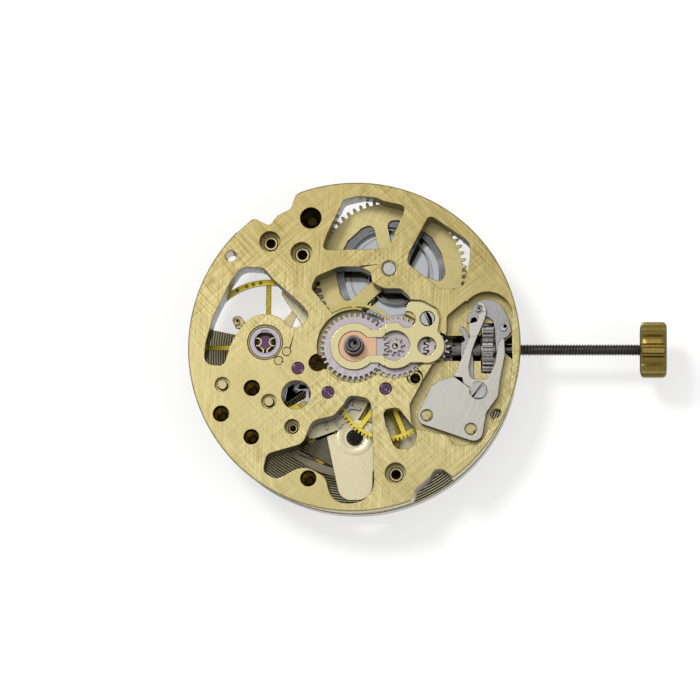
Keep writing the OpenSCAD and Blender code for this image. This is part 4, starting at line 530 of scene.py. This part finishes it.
# Escapement: a steel wheel with fifteen club teeth, riveted on its pinion, and the forked lever on
# its staff. Both are polished flat; their upright sides and broken edges are painted dark, as
# shade.
escape_steel = metal("polished escape steel", "#D4CDD2", "#A8A0A6", "#1E1A1C", strokes=(0,),
    length=0.5, spacing=0.05, rough=0.2, depth=0.0004, steep=0.9)
broken_edges("escape_wheel", WHEEL_BEVEL, escape_steel, segments=1)
broken_edges("pallet_fork", WHEEL_BEVEL, escape_steel, segments=1)

# Balance: a gilded brass ring on four arms, poised by small drillings in its rim, whose walls and
# bottoms are painted brown as shade. It is riveted on a polished steel staff that carries the
# roller.
poised_gilt = metal("gilded balance", "#EFDC5E", "#CDB232", "#4A3A0C", strokes=(0, 60, 120),
    length=0.8, spacing=0.08, rough=0.28, depth=0.0008, deep=(-2.34, -2.26, 0.25))
broken_edges("balance_wheel", WHEEL_BEVEL, poised_gilt)
dress(pinion_steel, "balance_staff", "roller")

# Hairspring: a flat strip of spring alloy, 0.03 by 0.1 mm, thinner than a hair, wound in eleven
# even turns. It is pinned to the stud in its turned brass holder, and a regulator of the same
# brass holds the outer turn.
BALANCE = (-6.95, 0.3)
STUD = (-9.5, 2.45)
stud_turn = math.degrees(math.atan2(STUD[1] - BALANCE[1], STUD[0] - BALANCE[0]))
coil("hairspring_fine", BALANCE, turns=[0, 11], radii=[0.5, 2.3], thick=0.03, low=-2.95,
    high=-2.85, phase=stud_turn, per_turn=64, finish=spring_steel, node="hairspring")
broken_edges("regulator", 0.03, turned_brass)
broken_edges("stud_holder", 0.05, turned_brass)

# Shock settings: turned steel seats, nickelled, sunk into plate and cock, with a lyre spring of
# gilt bronze over each cap jewel. The steps of the seat show as bright and dark rings round the
# balance's axis, painted by radius; the dark rings and the dark middle are painted shade, in the
# gaps between the steps and in the seat under the spring. The rows give each ring's radius in mm
# and its colour.
SEAT_RINGS_AND_SHADE = [(0.0, "#241C10"), (0.83, "#2A2414"), (0.87, "#B4A9B6"), (1.16, "#C2B8C4"),
    (1.2, "#2E2818"), (1.25, "#9C8E5C"), (1.31, "#C4B684"), (1.35, "#2A2212")]
RINGS_REACH = 1.5
shock_steel = metal("nickelled shock ring", "#C9BFCB", "#9A90A0", "#3A3218", strokes=(0, 60),
    length=0.5, spacing=0.08, rough=0.26, depth=0.0006)
tree = shock_steel.node_tree
place = add(tree, "TexCoord").outputs["Object"]
place = add(tree, "VectorMath", {0: place, 1: (-BALANCE[0] * MM, -BALANCE[1] * MM, 0)},
    operation="ADD").outputs[0]
place = add(tree, "VectorMath", {0: place, 1: (1, 1, 0)}, operation="MULTIPLY").outputs[0]
reach = add(tree, "VectorMath", {0: place}, operation="LENGTH").outputs["Value"]
reach = add(tree, "Math", {0: reach, 1: 1 / (RINGS_REACH * MM)}, operation="MULTIPLY").outputs[0]
rings = add(tree, "ValToRGB", {"Fac": reach})
for ring_radius, colour in SEAT_RINGS_AND_SHADE[1:-1]:
    rings.color_ramp.elements.new(ring_radius / RINGS_REACH)
for element, (ring_radius, colour) in zip(rings.color_ramp.elements, SEAT_RINGS_AND_SHADE):
    element.position = ring_radius / RINGS_REACH
    element.color = linear(colour)
tree.links.new(rings.outputs[0], tree.nodes["Principled BSDF"].inputs["Base Color"])
dress(shock_steel, "shock_settings")
pale_gilt = metal("pale gilt bronze", "#F0E3A0", "#D8C878", "#5A4818", strokes=(0,), length=0.5,
    spacing=0.06, rough=0.22, depth=0.0004)
dress(pale_gilt, "shock_springs")

# Jewels: synthetic ruby, drilled, polished and pressed into the brass, each plate jewel with a
# cupped sink for the oil. They look deep purple, a little cloudy, with sharp highlights. The rows
# give the place x and y and the bore's radius, in mm.
PLATE_JEWELS = [(2.51, -3.36, 0.12), (-1.98, -3.66, 0.1), (-4.35, -1.74, 0.09)]
JEWEL_TOP, JEWEL_LOW, JEWEL_RADIUS = 0.33, -0.57, 0.478
RUBY_CLOUDS = 1400.0  # in a metre, so that each is 0.7 mm across
ruby = bpy.data.materials.new("synthetic ruby")
ruby.use_nodes = True
tree = ruby.node_tree
shader = tree.nodes["Principled BSDF"]
place = add(tree, "TexCoord").outputs["Object"]
cloud = add(tree, "TexNoise", {"Vector": place, "Scale": RUBY_CLOUDS, "Detail": 2.0}).outputs["Fac"]
stone = add(tree, "Mix", {"Factor": cloud, "A": linear("#5A1C66"), "B": linear("#A64C98")},
    data_type="RGBA")
tree.links.new(stone.outputs[2], shader.inputs["Base Color"])
shader.inputs["Roughness"].default_value = 0.06
shader.inputs["IOR"].default_value = 1.76
shader.inputs["Transmission Weight"].default_value = 0.25
dress(ruby, "shock_jewels", "bridge_jewels", "pallet_stones")
for number, (x, y, bore) in enumerate(PLATE_JEWELS):
    turned(f"plate_jewel_{number}", (x, y), [(bore, JEWEL_LOW), (JEWEL_RADIUS, JEWEL_LOW),
        (JEWEL_RADIUS, 0.26), (0.43, 0.32), (0.37, JEWEL_TOP), (0.3, 0.32), (0.22, 0.26),
        (0.16, 0.22), (bore, 0.21)], ruby, "plate_jewels")

# Guard and friction spring of the seconds wheel: the guard is grainy hardened sheet steel, painted
# dark as the shade of the recess it lies in, and the spring a strip of browned steel. Both are
# stamped and screwed on behind.
dark_sheet = metal("grainy sheet in painted shade", "#6C6858", "#403D34", "#2A2824", strokes=(20, 110),
    length=0.25, spacing=0.18, rough=0.42, depth=0.004)
broken_edges("wheel_guard", 0.03, dark_sheet)
brown_steel = metal("browned steel strip", "#8E8672", "#5E5644", "#241E12", strokes=(10,),
    length=0.8, spacing=0.08, rough=0.3, depth=0.001)
broken_edges("seconds_spring", 0.03, brown_steel)

# Rotor: a half disc of bronze tungsten alloy with a heavy rim, turned with fine concentric
# grooves, which show as ribs in the windows of the plate; their pale crests and dark hollows are
# painted highlight and painted shade. It turns on a polished steel ball race and drives the
# reverser wheel below it.
GROOVE_PITCH = 0.19
GROOVE_DEPTH = 0.02
grooved = metal("grooved rotor alloy", "#AA9F7E", "#7F745A", "#3C362A", strokes=(0,), length=1.0,
    spacing=0.2, rough=0.32, depth=0.0004)
tree = grooved.node_tree
shader = tree.nodes["Principled BSDF"]
place = add(tree, "TexCoord").outputs["Object"]
place = add(tree, "VectorMath", {0: place, 1: (1, 1, 0)}, operation="MULTIPLY").outputs[0]
reach = add(tree, "VectorMath", {0: place}, operation="LENGTH").outputs["Value"]
phase = add(tree, "Math", {0: reach, 1: 2 * math.pi / (GROOVE_PITCH * MM)},
    operation="MULTIPLY").outputs[0]
rib = add(tree, "Math", {0: phase}, operation="SINE").outputs[0]
lift = add(tree, "Bump", {"Height": rib, "Strength": 1.0, "Distance": GROOVE_DEPTH * MM})
tree.links.new(lift.outputs[0], shader.inputs["Normal"])
# The colour runs from dark brown in each hollow to pale on each crest: painted shade and highlight.
tone = add(tree, "MapRange", {"Value": rib, "From Min": -1.0, "From Max": 0.6}).outputs[0]
painted_rib_light = add(tree, "Mix", {"Factor": tone, "A": linear("#4A3E24"), "B": linear("#F2EAC6")},
    data_type="RGBA")
tree.links.new(painted_rib_light.outputs[2], shader.inputs["Base Color"])
broken_edges("rotor_weight", 0.05, grooved)
broken_edges("rotor", 0.04, grooved)
dress(pinion_steel, "bearing_race", "reverser_wheel", "reverser_pinion")

# Paper: the movement lies on a sheet of white paper, which looks a little brighter than the lamps
# make it. Under the lower half of the movement, inside its outline, a painted shadow of the rotor
# makes it black, with no glow. Only the camera meets it, and only from above, so that the back
# takes light and can be seen from below.
PAPER_Z = -5.3
PAPER_HALF = 3000.0
PAPER_GLOW = 0.6
SHADE_RADIUS = 12.6
SHADE_BELOW = -1.1
paper = bpy.data.materials.new("white paper")
paper.use_nodes = True
tree = paper.node_tree
shader = tree.nodes["Principled BSDF"]
shader.inputs["Roughness"].default_value = 0.9
shader.inputs["Specular IOR Level"].default_value = 0.0
shader.inputs["Emission Color"].default_value = (1, 1, 1, 1)
place = add(tree, "TexCoord").outputs["Object"]
reach = add(tree, "VectorMath", {0: place}, operation="LENGTH").outputs["Value"]
outside = add(tree, "MapRange", {"Value": reach, "From Min": SHADE_RADIUS * MM,
    "From Max": (SHADE_RADIUS + 0.3) * MM}).outputs[0]
across = add(tree, "SeparateXYZ", {0: place}).outputs[1]
clear_of_painted_shadow = add(tree, "MapRange", {"Value": across, "From Min": SHADE_BELOW * MM,
    "From Max": (SHADE_BELOW + 0.5) * MM}).outputs[0]
clear_of_painted_shadow = add(tree, "Math", {0: outside, 1: clear_of_painted_shadow}, operation="MAXIMUM").outputs[0]
rays = add(tree, "LightPath")
glow = add(tree, "Math", {0: rays.outputs["Is Camera Ray"], 1: clear_of_painted_shadow},
    operation="MULTIPLY").outputs[0]
glow = add(tree, "Math", {0: glow, 1: PAPER_GLOW}, operation="MULTIPLY").outputs[0]
tree.links.new(glow, shader.inputs["Emission Strength"])
tree.links.new(clear_of_painted_shadow, shader.inputs["Base Color"])
above = add(tree, "Math", {0: 1.0, 1: add(tree, "NewGeometry").outputs["Backfacing"]},
    operation="SUBTRACT").outputs[0]
above = add(tree, "Math", {0: above, 1: rays.outputs["Is Camera Ray"]},
    operation="MULTIPLY").outputs[0]
sheet = add(tree, "MixShader", {0: above, 1: add(tree, "BsdfTransparent").outputs[0],
    2: shader.outputs[0]})
tree.links.new(sheet.outputs[0], tree.nodes["Material Output"].inputs["Surface"])
floor_mesh = bpy.data.meshes.new("floor")
floor_mesh.from_pydata([(x * PAPER_HALF * MM, y * PAPER_HALF * MM, PAPER_Z * MM)
    for x, y in ((-1, -1), (1, -1), (1, 1), (-1, 1))], [], [(0, 1, 2, 3)])
floor_mesh.materials.append(paper)
floor = bpy.data.objects.new("floor", floor_mesh)
bpy.context.scene.collection.objects.link(floor)

# Surround: a white room. The camera and clear pieces see it as white; metal mirrors it at less
# than half of that, so that pale brass keeps its colour, and it lights dull surfaces softly.
ROOM_ON_METAL = 0.45
ROOM_ELSEWHERE = 0.15
world = bpy.data.worlds.new("surround")
bpy.context.scene.world = world
world.use_nodes = True
tree = world.node_tree
rays = add(tree, "LightPath")
seen = add(tree, "Math", {0: rays.outputs["Is Camera Ray"],
    1: rays.outputs["Is Transmission Ray"]}, operation="MAXIMUM").outputs[0]
level = add(tree, "MapRange", {"Value": rays.outputs["Is Glossy Ray"],
    "To Min": ROOM_ELSEWHERE, "To Max": ROOM_ON_METAL}).outputs[0]
strength = add(tree, "Math", {0: level, 1: seen}, operation="MAXIMUM").outputs[0]
background = tree.nodes["Background"]
background.inputs["Color"].default_value = (1, 1, 1, 1)
tree.links.new(strength, background.inputs["Strength"])

# Lamps: one broad softbox overhead, a small key lamp above and to the left, which draws the
# shadow, a lamp behind for the back of the movement, and a weak fill lamp from the right. The
# rows give the place and the width in mm and the power in watts.
LAMPS = [("overhead softbox", (-30, 50, 620), 760, 0.46), ("key lamp", (-160, 175, 420), 110, 0.46),
    ("back lamp", (80, -120, -500), 420, 0.45), ("fill lamp", (230, -80, 300), 160, 0.07)]
for name, place, width, watts in LAMPS:
    lamp = bpy.data.lights.new(name, "AREA")
    lamp.shape = "DISK"
    lamp.size = width * MM
    lamp.energy = watts
    holder = bpy.data.objects.new(name, lamp)
    bpy.context.scene.collection.objects.link(holder)
    where = np.array(place, float) * MM
    holder.location = where
    holder.rotation_mode = "QUATERNION"
    holder.rotation_quaternion = mathutils.Vector(-where).to_track_quat("-Z", "Y")

# Camera: a long lens almost straight above the dial side, tipped 10 degrees towards six o'clock.
# The first three values are the picture's right, its up and the way back to the lens.
RIGHT = np.array([0.99787, 0.010707, -0.06482])
UP = np.array([0.0, 0.98666, 0.16296])
BACK = np.array([0.0657, -0.1626, 0.9845])
AIM = np.array([-0.3014, -0.316, 0.45])
DISTANCE = 390.3
VIEW_ANGLE = 8
camera_data = bpy.data.cameras.new("camera")
camera_data.sensor_width = 36
camera_data.lens = camera_data.sensor_width / 2 / math.tan(math.radians(VIEW_ANGLE / 2))
camera_data.clip_start = 0.01
camera_data.clip_end = 10
camera = bpy.data.objects.new("camera", camera_data)
bpy.context.scene.collection.objects.link(camera)
stand = np.eye(4)
stand[:3, 0], stand[:3, 1], stand[:3, 2] = RIGHT, UP, BACK
stand[:3, 3] = (AIM + BACK * DISTANCE) * MM
camera.matrix_world = mathutils.Matrix(stand.tolist())
bpy.context.scene.camera = camera
bpy.context.scene.view_settings.view_transform = "Standard"
